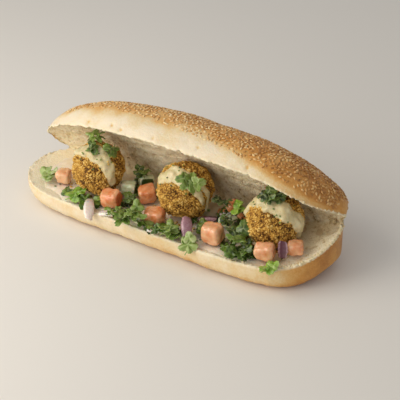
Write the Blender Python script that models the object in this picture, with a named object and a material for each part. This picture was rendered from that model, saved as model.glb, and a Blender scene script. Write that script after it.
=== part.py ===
"""A sesame roll slit along its front, opened, and filled with falafel balls, salad and tahini.

Sizes are in millimetres and angles in degrees. The functions that make a mesh turn
millimetres into metres. +X runs along the roll, +Y points to its uncut back, and
+Z is up. The roll rests on z = 0.
"""

import math
import random

import bmesh
import bpy
from mathutils import Matrix, Vector, noise
from mathutils.bvhtree import BVHTree

MM = 0.001
GAP = 0.3

# The closed roll
HALF_LENGTH = 127.0
HALF_WIDTH = 40.5
CUT_HEIGHT = 17.0
CRUST_LUMP = 0.7
CRUST_LUMP_SIZE = 26.0
STATIONS = 27
CRUST_POINTS = 15
CUT_POINTS = 9

# The lower half: how square its ends and walls are, and how its underside lifts at the tips
LEFT_SQUARENESS = 7.0
RIGHT_SQUARENESS = 6.0
RIGHT_TIP_SKEW = 6.0
WALL_FULLNESS = 5.0
WALL_OVERREACH = 1.03
LEFT_LIFT = 10.0
LEFT_LIFT_START = 0.62
LEFT_LIFT_POWER = 2.6
RIGHT_LIFT = 13.0
RIGHT_LIFT_START = 0.84
RIGHT_LIFT_POWER = 2.0

# The upper half: its crown, and how its front rim draws in to each tip
UPPER_TIP_X = 125.0
CROWN_RISE = 42.0
CROWN_PEAK_X = 15.0
CROWN_BLUNTNESS = 2.6
CROWN_LEFT_FULLNESS = 2.1
CROWN_RIGHT_FULLNESS = 1.95
CROWN_FULLNESS = 2.2
OVERHANG = 2.0
LEAST_WIDTH = 0.5
LEFT_TIP_Y = 0.0
RIGHT_TIP_Y = 15.0
LEFT_RIM_CURVE = (4.0, 1.2)
RIGHT_RIM_CURVE = (5.0, 1.1)

# The slit, and how far the roll is opened at it
HINGE_Y = 25.0
OPEN_AT_ENDS = 50.0
OPEN_AT_MIDDLE = 55.0
WIDEST_SHARE = 0.15
CUT_CLIMB = 17.0
CLIMB_START = 0.5
CLIMB_POWER = 1.7
CLIMB_FRONT_Y = -45.0
RIGHT_CUT_RISE = 2.0
LOWER_DISH = 3.0
UPPER_DISH = 7.5
DISH_FULLNESS = 0.8

# Sesame on the crown
SEED_COLUMNS = 19
SEED_ROWS = 5
SEED_SIDES = 5
SEED_LENGTH = 3.6
SEED_WIDTH = 2.4
SEED_HEIGHT = 1.3
SEED_FIRST_X = -78.0
SEED_LAST_X = 120.0
SEED_BACK_ANGLE = 52.0
SEED_FRONT_LEFT = 141.0
SEED_FRONT_RIGHT = 168.0

# Falafel balls: centre x, y, z and radius
FALAFELS = {
    "left": (-61.3, -12.0, 35.6, 19.0),
    "middle": (9.5, -4.5, 37.0, 20.4),
    "right": (83.2, -4.0, 36.4, 19.6),
}
FALAFEL_LUMP = 0.045
FALAFEL_CRAG = 0.035
FALAFEL_SEGMENTS = 26
FALAFEL_RINGS = 15

# Pieces that would cross a neighbour slide forward, and leaves slide forward and up
DICE_STEP = (0.1, -0.2, 0.0)
LEAF_STEP = (0.1, -0.2, 0.12)

# Thick tahini on each ball, as ribbons through directions: azimuth, elevation, half width
TAHINI_THICKNESS = 2.4
RIBBON_POINTS = 8
TAHINI_RIBBONS = {
    "left": [[(-168, 38, 13), (-128, 62, 20), (-38, 66, 21), (-14, 34, 19), (-8, 4, 15), (-6, -22, 8)]],
    "middle": [
        [(-138, 30, 11), (-116, 54, 19), (-62, 58, 20), (-38, 36, 13), (-22, 12, 8), (-14, -10, 5)],
        [(-30, 52, 9), (-4, 14, 7), (3, -36, 4)],
    ],
    "right": [[(-158, 12, 9), (-160, 44, 14), (-82, 66, 18), (-25, 42, 17), (0, 14, 15), (11, -22, 9)]],
}

# Sauce spread over the lower crumb
SPREAD_LIFT = 0.7
SPREAD_TOP = 1.7
SPREAD_INSET = 5.0
SPREAD_END = 14.0
SPREAD_ROWS = 5
SPREAD_STATIONS = 20
FLOOR_GAP = SPREAD_TOP + 0.4

# Chopped salad between the balls: centre x, y, half length, half depth, height, number of bits
SALAD_HEAPS = {
    "left": (-17.5, 14.5, 7.5, 7.0, 6.0, 6),
    "right": (43.0, 6.5, 11.0, 8.5, 8.0, 8),
}

# Knife-cut dice: x, y, lift above the sauce, turn, then the size along x, y and z
TOMATO_DICE = [
    (-90.0, -17.7, 0.0, 20, 11, 11, 9),
    (-41.5, -24.6, 0.0, 12, 15, 12, 11),
    (-22.4, -6.6, 0.0, 38, 13, 12, 12),
    (-2.5, -25.5, 0.0, 22, 15, 12, 11),
    (47.0, -27.0, 0.0, 8, 15, 12, 13),
    (89.6, -28.0, 0.0, 16, 14, 10, 12),
    (106.0, -14.0, 0.0, 30, 11, 9, 9),
    (42.0, 10.5, 9.5, 30, 10, 9, 7),
]
CUCUMBER_DICE = [
    (-39.5, -6.6, 0.0, 25, 12, 10, 11),
    (-34.0, 9.0, 0.0, 50, 11, 8, 9),
    (-11.5, -35.5, 0.0, 10, 7, 5, 5),
    (45.0, -6.0, 1.5, 12, 11, 6, 6),
]

# Onion strips: x, y, z, turn, tip, roll, ring radius, width, thickness, arc
ONION_STRIPS = [
    (-51.0, -39.5, 20.5, -57, 0, 12, 16, 9, 1.6, 78),
    (-33.5, -36.5, 19.5, 20, 8, 0, 24, 6, 1.6, 40),
    (6.5, -36.5, 19.5, 20, 8, 0, 22, 6, 1.6, 34),
    (26.5, -28.5, 23.5, -57, 0, 30, 20, 8, 2.2, 52),
    (32.0, -9.5, 23.5, 35, -12, 0, 18, 6, 2.0, 40),
    (99.6, -19.0, 26.5, 135, 0, -80, 18, 7, 1.8, 40),
]

# Herb leaves: x, y, z, turn, tip, roll, radius, lobes
HERB_LEAVES = {
    "pale_left": (-102.0, -21.0, 20.5, 200, -6, 14, 7.5, 3),
    "bright_left": (-68.5, -32.5, 21.5, 330, 10, 14, 7.5, 3),
    "behind_cucumber": (-39.4, 12.0, 27.5, 60, 10, -10, 6.5, 5),
    "under_cucumber": (-29.5, -18.5, 23.5, 300, 14, 10, 5.5, 5),
    "cluster_low": (-20.5, -36.5, 20.0, 250, 12, 8, 8.5, 5),
    "cluster_high": (-13.5, -33.0, 25.0, 160, 10, -12, 7.5, 5),
    "middle_low": (16.3, -34.0, 20.5, 230, 14, 8, 7.5, 5),
    "middle_small": (34.0, -19.5, 21.0, 20, 8, 10, 6.0, 3),
    "dark_curl": (48.5, -12.0, 27.5, 40, 6, 8, 5.5, 3),
    "bright_back": (49.0, 5.0, 29.5, 10, 10, -10, 6.5, 3),
    "dark_back": (35.0, 8.0, 30.0, 120, 10, 10, 6.0, 5),
    "parsley_high": (64.5, -20.0, 26.5, 330, 18, 12, 8.0, 5),
    "parsley_low": (72.0, -30.5, 21.0, 240, 16, 8, 8.5, 5),
    "sprig_right": (98.5, -37.5, 22.0, 330, 12, 8, 6.5, 3),
    "over_rim": (36.0, -41.0, 19.5, 10, 38, 0, 8.0, 5),
}

# Leaves on the balls: ball, azimuth, elevation, turn, radius, lobes
BALL_LEAVES = {
    "left_top": ("left", 150, 78, 30, 7.0, 5),
    "left_side": ("left", 5, 58, 110, 7.0, 3),
    "middle_front": ("middle", -44, 42, 60, 8.5, 5),
    "right_top": ("right", -95, 72, 10, 6.5, 5),
}
LEAF_THICKNESS = 0.7


def ramp(value, low, high):
    """0 at low and 1 at high, smooth between them."""
    share = min(1.0, max(0.0, (value - low) / (high - low)))
    return share * share * (3.0 - 2.0 * share)


def arch(share, bluntness, fullness):
    """1 at the middle of the roll and 0 at its tip."""
    return max(0.0, 1.0 - abs(share) ** bluntness) ** (1.0 / fullness)


def signed_power(value, power):
    """The power of a number, with the number's own sign."""
    return math.copysign(abs(value) ** power, value)


def lump(point, size, amount):
    """A soft unevenness, its hills about as wide as the size."""
    return amount * noise.noise(Vector(point) / size)


def material(name, colour, roughness):
    """A Principled material with linear colour values."""
    made = bpy.data.materials.new(name)
    made.use_nodes = True
    shader = made.node_tree.nodes["Principled BSDF"]
    shader.inputs["Base Color"].default_value = (*colour, 1.0)
    shader.inputs["Roughness"].default_value = roughness
    shader.inputs["Metallic"].default_value = 0.0
    return made


def finish(name, bm, look, crease=40.0):
    """Turns a bmesh in millimetres into an object in metres, shaded smooth up to the crease angle."""
    bmesh.ops.recalc_face_normals(bm, faces=bm.faces)
    bmesh.ops.triangulate(bm, faces=bm.faces)
    bmesh.ops.scale(bm, vec=(MM, MM, MM), verts=bm.verts)
    mesh = bpy.data.meshes.new(name)
    bm.to_mesh(mesh)
    bm.free()
    mesh.materials.append(look)
    mesh.shade_smooth()
    mesh.set_sharp_from_angle(angle=math.radians(crease))
    made = bpy.data.objects.new(name, mesh)
    bpy.context.scene.collection.objects.link(made)
    return made


def fuse(base, pieces):
    """Joins the pieces to the base in one Boolean union, and removes them."""
    group = bpy.data.collections.new(base.name + "_pieces")
    bpy.context.scene.collection.children.link(group)
    for piece in pieces:
        bpy.context.scene.collection.objects.unlink(piece)
        group.objects.link(piece)
    union = base.modifiers.new("union", "BOOLEAN")
    union.operation = "UNION"
    union.operand_type = "COLLECTION"
    union.collection = group
    union.solver = "MANIFOLD"
    bpy.context.view_layer.update()
    graph = bpy.context.evaluated_depsgraph_get()
    joined = bpy.data.meshes.new_from_object(base.evaluated_get(graph))
    base.modifiers.clear()
    base.data = joined
    for piece in pieces:
        bpy.data.objects.remove(piece)
    bpy.data.collections.remove(group)
    return base


def loft(rings, first_tip, last_tip):
    """A closed bmesh through rings of points, drawn to a point at both ends."""
    bm = bmesh.new()
    loops = [[bm.verts.new(point) for point in ring] for ring in rings]
    count = len(rings[0])
    for near, far in zip(loops, loops[1:]):
        for i in range(count):
            j = (i + 1) % count
            bm.faces.new((near[i], near[j], far[j], far[i]))
    for loop, tip in ((loops[0], first_tip), (loops[-1], last_tip)):
        end = bm.verts.new(tip)
        for i in range(count):
            bm.faces.new((loop[i], loop[(i + 1) % count], end))
    return bm


def lower_sides(x):
    """The y of the lower half's front and back rims at x."""
    share = x / HALF_LENGTH
    reach = HALF_WIDTH * arch(share, LEFT_SQUARENESS if share < 0 else RIGHT_SQUARENESS, 2.0)
    skew = RIGHT_TIP_SKEW * ramp(share, 0.75, 1.0)
    return skew - reach, skew + reach


def upper_sides(x):
    """The y of the upper half's front and back rims at x, before it is opened."""
    back = lower_sides(x)[1]
    tip_y, curve = (RIGHT_TIP_Y, RIGHT_RIM_CURVE) if x > 0 else (LEFT_TIP_Y, LEFT_RIM_CURVE)
    reach = (HALF_WIDTH + OVERHANG + tip_y) * arch(min(1.0, abs(x) / UPPER_TIP_X), *curve)
    return min(tip_y - reach, back - LEAST_WIDTH), back


def cut_height(x, y):
    """The height of the slit, which climbs towards the back of the roll's right end."""
    share = x / HALF_LENGTH
    climb = CUT_CLIMB * max(0.0, (share - CLIMB_START) / (1.0 - CLIMB_START)) ** CLIMB_POWER
    rise = RIGHT_CUT_RISE * ramp(share, 0.2, 0.9)
    return CUT_HEIGHT + climb * ramp(y, CLIMB_FRONT_Y, HINGE_Y) + rise


def dish(x, y, front, depth):
    """How far the crumb is hollowed behind the cut at a point."""
    share = (y - front) / (HINGE_Y - front)
    if share <= 0.0 or share >= 1.0:
        return 0.0
    ends = arch(x / HALF_LENGTH, 8.0, 1.0)
    return depth * ends * (4.0 * share * (1.0 - share)) ** DISH_FULLNESS


def base_height(x):
    """The underside lifts off the table towards both tips."""
    share = x / HALF_LENGTH
    left = max(0.0, (-share - LEFT_LIFT_START) / (1.0 - LEFT_LIFT_START)) ** LEFT_LIFT_POWER
    right = max(0.0, (share - RIGHT_LIFT_START) / (1.0 - RIGHT_LIFT_START)) ** RIGHT_LIFT_POWER
    return LEFT_LIFT * left + RIGHT_LIFT * right


def opening(x):
    """The angle between the halves at x."""
    share = x / HALF_LENGTH
    middle = max(0.0, 1.0 - abs((share - WIDEST_SHARE) / (1.1 - WIDEST_SHARE)) ** 2.2)
    return math.radians(OPEN_AT_ENDS + (OPEN_AT_MIDDLE - OPEN_AT_ENDS) * middle)


def opened(point):
    """Where a point of the closed roll's upper half goes when the roll is opened."""
    x, y, z = point
    hinge_z = cut_height(x, HINGE_Y)
    angle = opening(x)
    reach = HINGE_Y - y
    rise = z - hinge_z
    return (
        x,
        HINGE_Y - reach * math.cos(angle) + rise * math.sin(angle),
        hinge_z + reach * math.sin(angle) + rise * math.cos(angle),
    )


def fit_in_mouth(point, floor_gap):
    """Presses a point of a filling off the lower crumb and out of the upper crumb."""
    x, y, z = point
    z = max(z, lower_cut(x, y) + floor_gap)
    hinge_z = cut_height(x, HINGE_Y)
    angle = opening(x)
    back, up = y - HINGE_Y, z - hinge_z
    reach = up * math.sin(angle) - back * math.cos(angle)
    rise = back * math.sin(angle) + up * math.cos(angle)
    roof = upper_cut(x, HINGE_Y - reach) - hinge_z - 2.0 * GAP
    if rise <= roof:
        return Vector((x, y, z))
    return Vector(opened((x, HINGE_Y - reach, hinge_z + roof)))


def lower_cut(x, y):
    front = lower_sides(x)[0]
    return cut_height(x, y) - dish(x, y, front, LOWER_DISH)


def upper_cut(x, y):
    front = upper_sides(x)[0]
    return cut_height(x, y) + dish(x, y, front, UPPER_DISH)


def lower_crust(x, turn):
    """A point of the lower crust: turn runs from 0 at the front rim to pi at the back rim."""
    front, back = lower_sides(x)
    across = signed_power(math.cos(turn), 2.0 / WALL_FULLNESS)
    y = (front + back) / 2.0 - (back - front) / 2.0 * across
    rim = cut_height(x, y)
    base = base_height(x)
    z = rim - (rim - base) * WALL_OVERREACH * math.sin(turn) ** (2.0 / WALL_FULLNESS)
    y += lump((x, y, z), CRUST_LUMP_SIZE, CRUST_LUMP)
    return x, y, max(z, base)


def upper_crust(x, turn):
    """A point of the upper crust before opening: turn runs from 0 at the back to pi at the front."""
    front, back = upper_sides(x)
    across = signed_power(math.cos(turn), 2.0 / CROWN_FULLNESS)
    y = (front + back) / 2.0 + (back - front) / 2.0 * across
    to_peak = x - CROWN_PEAK_X
    if to_peak > 0:
        share, fullness = to_peak / (UPPER_TIP_X - CROWN_PEAK_X), CROWN_RIGHT_FULLNESS
    else:
        share, fullness = to_peak / (UPPER_TIP_X + CROWN_PEAK_X), CROWN_LEFT_FULLNESS
    crown = CROWN_RISE * arch(min(1.0, abs(share)), CROWN_BLUNTNESS, fullness)
    swell = max(0.0, math.sin(turn)) ** (2.0 / CROWN_FULLNESS)
    z = cut_height(x, y) + crown * swell
    z += lump((x, y, z), CRUST_LUMP_SIZE, 2.0 * CRUST_LUMP) * swell
    return x, y, z


def station_xs(tip_x):
    """Stations along a half, closer together towards the roll's tips and ending inside the half's."""
    turns = [(i / (STATIONS - 1) - 0.5) * math.pi for i in range(STATIONS)]
    xs = [0.9985 * HALF_LENGTH * math.sin(turn) for turn in turns]
    return [x for x in xs if abs(x) < tip_x]


def lower_ring(x):
    """The lower half's outline at x: crust from front to back, then cut face from back to front."""
    ring = [lower_crust(x, math.pi * i / (CRUST_POINTS - 1)) for i in range(CRUST_POINTS)]
    front = ring[0][1]
    back = ring[-1][1]
    for i in range(1, CUT_POINTS):
        y = back + (front - back) * i / CUT_POINTS
        ring.append((x, y, lower_cut(x, y)))
    return ring


def upper_ring(x):
    """The upper half's outline at x: crust from back to front, then cut face from front to back."""
    ring = [upper_crust(x, math.pi * i / (CRUST_POINTS - 1)) for i in range(CRUST_POINTS)]
    back = ring[0][1]
    front = ring[-1][1]
    for i in range(1, CUT_POINTS):
        y = front + (back - front) * i / CUT_POINTS
        ring.append((x, y, upper_cut(x, y)))
    return ring


def middle_of(ring, x):
    count = len(ring)
    return x, sum(point[1] for point in ring) / count, sum(point[2] for point in ring) / count


def lower_half(look):
    rings = [lower_ring(x) for x in station_xs(HALF_LENGTH)]
    tips = [middle_of(ring, side * HALF_LENGTH) for ring, side in ((rings[0], -1), (rings[-1], 1))]
    return finish("bread_roll", loft(rings, *tips), look, crease=55.0)


def upper_half(look):
    rings = [[opened(point) for point in upper_ring(x)] for x in station_xs(UPPER_TIP_X)]
    tips = [middle_of(ring, side * UPPER_TIP_X) for ring, side in ((rings[0], -1), (rings[-1], 1))]
    return finish("upper_half", loft(rings, *tips), look, crease=55.0)


def crust_frame(x, turn):
    """A point on the opened crown with the directions along it, across it and out of it."""
    here = Vector(opened(upper_crust(x, turn)))
    along = Vector(opened(upper_crust(x + 1.0, turn))) - here
    across = Vector(opened(upper_crust(x, turn + 0.03))) - here
    along.normalize()
    out = along.cross(across).normalized()
    if out.z < 0:
        out.negate()
    return here, along, out.cross(along), out


def seed_mesh(centre, length, width, height):
    """A sesame seed as a low drop: an apex, a shoulder ring and a base ring, all round the frame."""
    here, along, across, out = centre
    bm = bmesh.new()
    rings = []
    for level, reach in ((-0.9, 0.8), (0.3, 1.0)):
        ring = []
        for i in range(SEED_SIDES):
            turn = math.tau * i / SEED_SIDES
            point = here + along * (length / 2 * reach * math.cos(turn))
            point = point + across * (width / 2 * reach * math.sin(turn)) + out * (height * level)
            ring.append(bm.verts.new(point))
        rings.append(ring)
    for low, high in zip(rings, rings[1:]):
        for i in range(SEED_SIDES):
            j = (i + 1) % SEED_SIDES
            bm.faces.new((low[i], low[j], high[j], high[i]))
    bm.faces.new(rings[0])
    apex = bm.verts.new(here + along * (0.1 * length) + out * height)
    for i in range(SEED_SIDES):
        bm.faces.new((rings[1][i], rings[1][(i + 1) % SEED_SIDES], apex))
    return bm


def sesame(look):
    """Seeds in jittered rows over the crown, each turned its own way."""
    draw = random.Random(5)
    seeds = []
    for column in range(SEED_COLUMNS):
        for row in range(SEED_ROWS):
            step = (SEED_LAST_X - SEED_FIRST_X) / SEED_COLUMNS
            x = SEED_FIRST_X + (column + 0.5 * (row % 2) + draw.uniform(-0.25, 0.25)) * step
            share = (row + 0.5 + draw.uniform(-0.3, 0.3)) / SEED_ROWS
            front = SEED_FRONT_LEFT + (SEED_FRONT_RIGHT - SEED_FRONT_LEFT) * ramp(x, SEED_FIRST_X, 70.0)
            angle = SEED_BACK_ANGLE + share * (front - SEED_BACK_ANGLE)
            here, along, across, out = crust_frame(x, math.radians(angle))
            spin = Matrix.Rotation(draw.uniform(0, math.pi), 3, out)
            size = draw.uniform(0.88, 1.12)
            seed = seed_mesh(
                (here, spin @ along, spin @ across, out),
                SEED_LENGTH * size,
                SEED_WIDTH * size,
                SEED_HEIGHT,
            )
            seeds.append(finish(f"seed_{column}_{row}", seed, look))
    return seeds


def direction(azimuth, elevation):
    a = math.radians(azimuth)
    e = math.radians(elevation)
    return Vector((math.cos(a) * math.cos(e), math.sin(a) * math.cos(e), math.sin(e)))


def falafel_reach(out, radius):
    """The ball's radius in a direction: round, lumpy and craggy."""
    lumps = FALAFEL_LUMP * noise.noise(out * 1.6 + Vector((radius, 0.0, 0.0)))
    crags = FALAFEL_CRAG * noise.noise(out * 6.5 + Vector((0.0, radius, 0.0)))
    return radius * (1.0 + lumps + crags)


def falafel_ball(name, centre, radius, look):
    """A ball flattened a little where it rests on the sauce."""
    bm = bmesh.new()
    bmesh.ops.create_uvsphere(bm, u_segments=FALAFEL_SEGMENTS, v_segments=FALAFEL_RINGS, radius=1.0)
    for vert in bm.verts:
        out = vert.co.normalized()
        point = Vector(centre) + out * falafel_reach(out, radius)
        vert.co = fit_in_mouth(point, FLOOR_GAP)
    return finish(name, bm, look, crease=50.0)


def ribbon_stops(waypoints, steps):
    """Directions and half widths along a smooth curve through the waypoints."""
    spots = [direction(azimuth, elevation) for azimuth, elevation, _ in waypoints]
    widths = [width for _, _, width in waypoints]
    stops = []
    for i in range(len(spots) - 1):
        before = spots[max(0, i - 1)]
        after = spots[min(len(spots) - 1, i + 2)]
        for j in range(steps):
            t = j / steps
            start, end = spots[i], spots[i + 1]
            pull_in = (end - before) * 0.5
            pull_out = (after - start) * 0.5
            point = start * (2 * t**3 - 3 * t**2 + 1) + end * (3 * t**2 - 2 * t**3)
            point = point + pull_in * (t**3 - 2 * t**2 + t) + pull_out * (t**3 - t**2)
            stops.append((point.normalized(), widths[i] + (widths[i + 1] - widths[i]) * t))
    stops.append((spots[-1], widths[-1]))
    return stops


def tahini_ribbon(name, centre, radius, waypoints, look):
    """A thick trail of sauce over a ball, sunk into it on its inner side."""
    stops = ribbon_stops(waypoints, 2)
    rings = []
    for i, (out, width) in enumerate(stops):
        ahead = stops[min(len(stops) - 1, i + 1)][0] - stops[max(0, i - 1)][0]
        side = ahead.cross(out).normalized()
        ring = []
        for j in range(RIBBON_POINTS):
            turn = math.tau * j / RIBBON_POINTS
            lean = math.radians(width * 1.15) * math.cos(turn)
            facing = (out * math.cos(lean) + side * math.sin(lean)).normalized()
            depth = math.sin(turn)
            thick = TAHINI_THICKNESS * depth if depth > 0 else 4.0 * depth
            point = Vector(centre) + facing * (falafel_reach(facing, radius) + thick)
            ring.append(fit_in_mouth(point, FLOOR_GAP))
        rings.append(ring)
    tips = []
    for ring, (out, width), beyond in ((rings[0], stops[0], stops[1]), (rings[-1], stops[-1], stops[-2])):
        outward = (out + (out - beyond[0]).normalized() * math.radians(width * 0.8)).normalized()
        tips.append(Vector(centre) + outward * falafel_reach(outward, radius))
    return finish(name, loft(rings, *tips), look)


def falafel(name, look):
    x, y, z, radius = FALAFELS[name]
    ball = falafel_ball("falafel_" + name, (x, y, z), radius, look)
    ribbons = [
        tahini_ribbon(f"ribbon_{name}_{i}", (x, y, z), radius, waypoints, look)
        for i, waypoints in enumerate(TAHINI_RIBBONS[name])
    ]
    return fuse(ball, ribbons)


def spread_ring(x):
    """The sauce's outline at x: along its underside from front to back, then back along its top."""
    front, back = lower_sides(x)
    front += SPREAD_INSET + 1.6 * math.sin(0.11 * x) + 1.1 * math.sin(0.29 * x + 1.0)
    back = min(back - SPREAD_INSET, HINGE_Y - SPREAD_INSET)
    ys = [front + (back - front) * i / SPREAD_ROWS for i in range(SPREAD_ROWS + 1)]
    low = [(x, y, lower_cut(x, y) + SPREAD_LIFT) for y in ys]
    high = []
    for i, y in enumerate(ys):
        edge = i in (0, SPREAD_ROWS)
        high.append((x, y, lower_cut(x, y) + (SPREAD_LIFT + 0.4 if edge else SPREAD_TOP)))
    return low + high[::-1]


def tahini_spread(look):
    """A thin layer of sauce that follows the hollowed crumb."""
    reach = HALF_LENGTH - SPREAD_END
    rings = [spread_ring(reach * (2.0 * i / SPREAD_STATIONS - 1.0)) for i in range(SPREAD_STATIONS + 1)]
    tips = [middle_of(ring, side * (reach + 3.0)) for ring, side in ((rings[0], -1), (rings[-1], 1))]
    return finish("tahini_spread", loft(rings, *tips), look)


def dice(size, seed, soft=True):
    """A knife-cut cube, its faces a little out of square and, where soft, its edges rounded."""
    bm = bmesh.new()
    bmesh.ops.create_cube(bm, size=1.0)
    for i, vert in enumerate(bm.verts):
        skew = Vector((noise.noise(Vector((i, seed, j * 3.7))) for j in range(3))) * 0.12
        vert.co = Vector(((vert.co[j] + skew[j]) * size[j] for j in range(3)))
    if soft:
        bmesh.ops.bevel(bm, geom=bm.edges[:], offset=0.14 * min(size), segments=1, affect="EDGES")
    return bm


def strip(radius, width, thickness, arc):
    """A slice of an onion layer: a band bent along its length and a little across."""
    bm = bmesh.new()
    along, across = 6, 2
    faces = {}
    for side in (-1, 1):
        for i in range(along + 1):
            for j in range(across + 1):
                turn = math.radians(arc) * (i / along - 0.5) * 2.0
                v = (j / across - 0.5) * 2.0
                taper = 1.0 - 0.25 * (i / along - 0.5) ** 2 * 4.0
                r = radius - 0.12 * width * v * v + side * thickness / 2.0
                point = (r * math.sin(turn), v * width / 2.0 * taper, r * math.cos(turn) - radius)
                faces[side, i, j] = bm.verts.new(point)
    for side in (-1, 1):
        for i in range(along):
            for j in range(across):
                bm.faces.new([faces[side, i + a, j + b] for a, b in ((0, 0), (1, 0), (1, 1), (0, 1))])
    rim = [(i, 0) for i in range(along)] + [(along, j) for j in range(across)]
    rim += [(i, across) for i in range(along, 0, -1)] + [(0, j) for j in range(across, 0, -1)]
    for near, far in zip(rim, rim[1:] + rim[:1]):
        bm.faces.new((faces[-1, *near], faces[-1, *far], faces[1, *far], faces[1, *near]))
    return bm


def leaf(radius, lobes, seed):
    """A thin wavy herb leaf with lobes, its stalk end at -Y, both faces split alike."""
    bm = bmesh.new()
    count = 14
    layers = []
    for side in (-0.5, 0.5):
        middle = bm.verts.new((0.0, 0.0, side * LEAF_THICKNESS))
        rings = []
        for share in (0.5, 1.0):
            ring = []
            for i in range(count):
                turn = math.tau * i / count
                teeth = 0.72 + 0.28 * abs(math.cos(lobes * turn / 2.0)) ** 0.8
                notch = 1.0 - 0.35 * math.exp(-((turn - 1.5 * math.pi) ** 2) / 0.08)
                reach = radius * share * (teeth * notch if share > 0.9 else 0.9)
                x, y = reach * math.cos(turn), reach * math.sin(turn)
                wave = 0.16 * radius * share * math.sin(lobes * turn + seed)
                wave -= 0.12 * radius * share * share
                ring.append(bm.verts.new((x, y, wave + side * LEAF_THICKNESS)))
            rings.append(ring)
        layers.append((middle, rings))
    for middle, (inner, outer) in layers:
        for i in range(count):
            j = (i + 1) % count
            bm.faces.new((middle, inner[i], inner[j]))
            bm.faces.new((inner[i], outer[i], outer[j]))
            bm.faces.new((inner[i], outer[j], inner[j]))
    low, high = layers[0][1][1], layers[1][1][1]
    for i in range(count):
        j = (i + 1) % count
        bm.faces.new((low[i], high[i], high[j]))
        bm.faces.new((low[i], high[j], low[j]))
    return bm


class Pile:
    """The pieces laid so far, as triangles in millimetres."""

    def __init__(self):
        self.points = []
        self.faces = []
        self.tree = None

    def add(self, made):
        start = len(self.points)
        self.points += [vert.co / MM for vert in made.data.vertices]
        self.faces += [[start + i for i in face.vertices] for face in made.data.polygons]
        self.tree = BVHTree.FromPolygons(self.points, self.faces)
        return made

    def touches(self, bm):
        """Whether the bmesh, grown by the gap, meets the pile."""
        grown = bm.copy()
        bmesh.ops.recalc_face_normals(grown, faces=grown.faces)
        grown.normal_update()
        for vert in grown.verts:
            vert.co = vert.co + vert.normal * GAP
        meets = bool(self.tree.overlap(BVHTree.FromBMesh(grown)))
        grown.free()
        return meets


def pose(bm, place, turn=0.0, tip=0.0, roll=0.0):
    """Turns the bmesh about its origin and moves it to its place."""
    matrix = Matrix.Translation(place)
    for angle, axis in ((turn, "Z"), (tip, "X"), (roll, "Y")):
        matrix = matrix @ Matrix.Rotation(math.radians(angle), 4, axis)
    bmesh.ops.transform(bm, matrix=matrix, verts=bm.verts)


def lay_on_ball(bm, ball, azimuth, elevation, turn):
    """Lays the bmesh flat against a ball, at a direction from the ball's centre."""
    out = direction(azimuth, elevation)
    *centre, radius = FALAFELS[ball]
    place = Vector(centre) + out * (falafel_reach(out, radius) + TAHINI_THICKNESS + 1.2)
    upright = out.to_track_quat("Z", "Y").to_matrix().to_4x4()
    matrix = Matrix.Translation(place) @ upright @ Matrix.Rotation(math.radians(turn), 4, "Z")
    bmesh.ops.transform(bm, matrix=matrix, verts=bm.verts)


def rest_on_floor(bm, lift):
    """Moves the bmesh down or up until its lowest point stands at the lift above the sauce."""
    down = min(vert.co.z - lower_cut(vert.co.x, vert.co.y) for vert in bm.verts) - FLOOR_GAP - lift
    bmesh.ops.translate(bm, vec=(0.0, 0.0, -down), verts=bm.verts)


def clear(bm, pile, step):
    """Moves the bmesh by the step until it is clear of every piece laid before."""
    for _ in range(60):
        if not pile.touches(bm):
            return
        bmesh.ops.translate(bm, vec=step, verts=bm.verts)


def salad_heap(name, look):
    """A low mound of chopped salad with its topmost bits fused on."""
    x, y, half_length, half_depth, height, bits = SALAD_HEAPS[name]
    draw = random.Random(int(x) + 100)
    bm = bmesh.new()
    bmesh.ops.create_uvsphere(bm, u_segments=14, v_segments=9, radius=1.0)
    for vert in bm.verts:
        out = vert.co.normalized()
        size = 1.0 + 0.16 * noise.noise(out * 2.2 + Vector((x, 0, 0)))
        px, py = x + half_length * out.x * size, y + half_depth * out.y * size
        floor = lower_cut(px, py) + FLOOR_GAP
        vert.co = (px, py, floor + max(0.0, out.z) * height * size)
    heap = finish("salad_heap_" + name, bm, look)
    pieces = []
    for i in range(bits):
        turn, share = math.tau * i * 0.382, math.sqrt((i + 0.5) / bits) * 0.7
        px, py = x + half_length * share * math.cos(turn), y + half_depth * share * math.sin(turn)
        top = lower_cut(px, py) + SPREAD_TOP + height * math.sqrt(1.0 - share * share)
        size = [draw.uniform(3.5, 6.5), draw.uniform(3.0, 5.0), draw.uniform(1.8, 3.6)]
        bit = dice(size, i, soft=False)
        pose(bit, (px, py, top), draw.uniform(0, 180), draw.uniform(-25, 25), draw.uniform(-25, 25))
        pieces.append(finish(f"bit_{name}_{i}", bit, look))
    return fuse(heap, pieces)


def clear_scene():
    for existing in list(bpy.data.objects):
        bpy.data.objects.remove(existing)


def build_bread():
    """The two halves joined along the hinge, with the seeds fused to the crown."""
    crust = material("crust", (0.55, 0.30, 0.12), 0.55)
    roll = fuse(lower_half(crust), [upper_half(crust)])
    fuse(roll, sesame(crust))
    roll.data.set_sharp_from_angle(angle=math.radians(50.0))
    return roll


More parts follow.
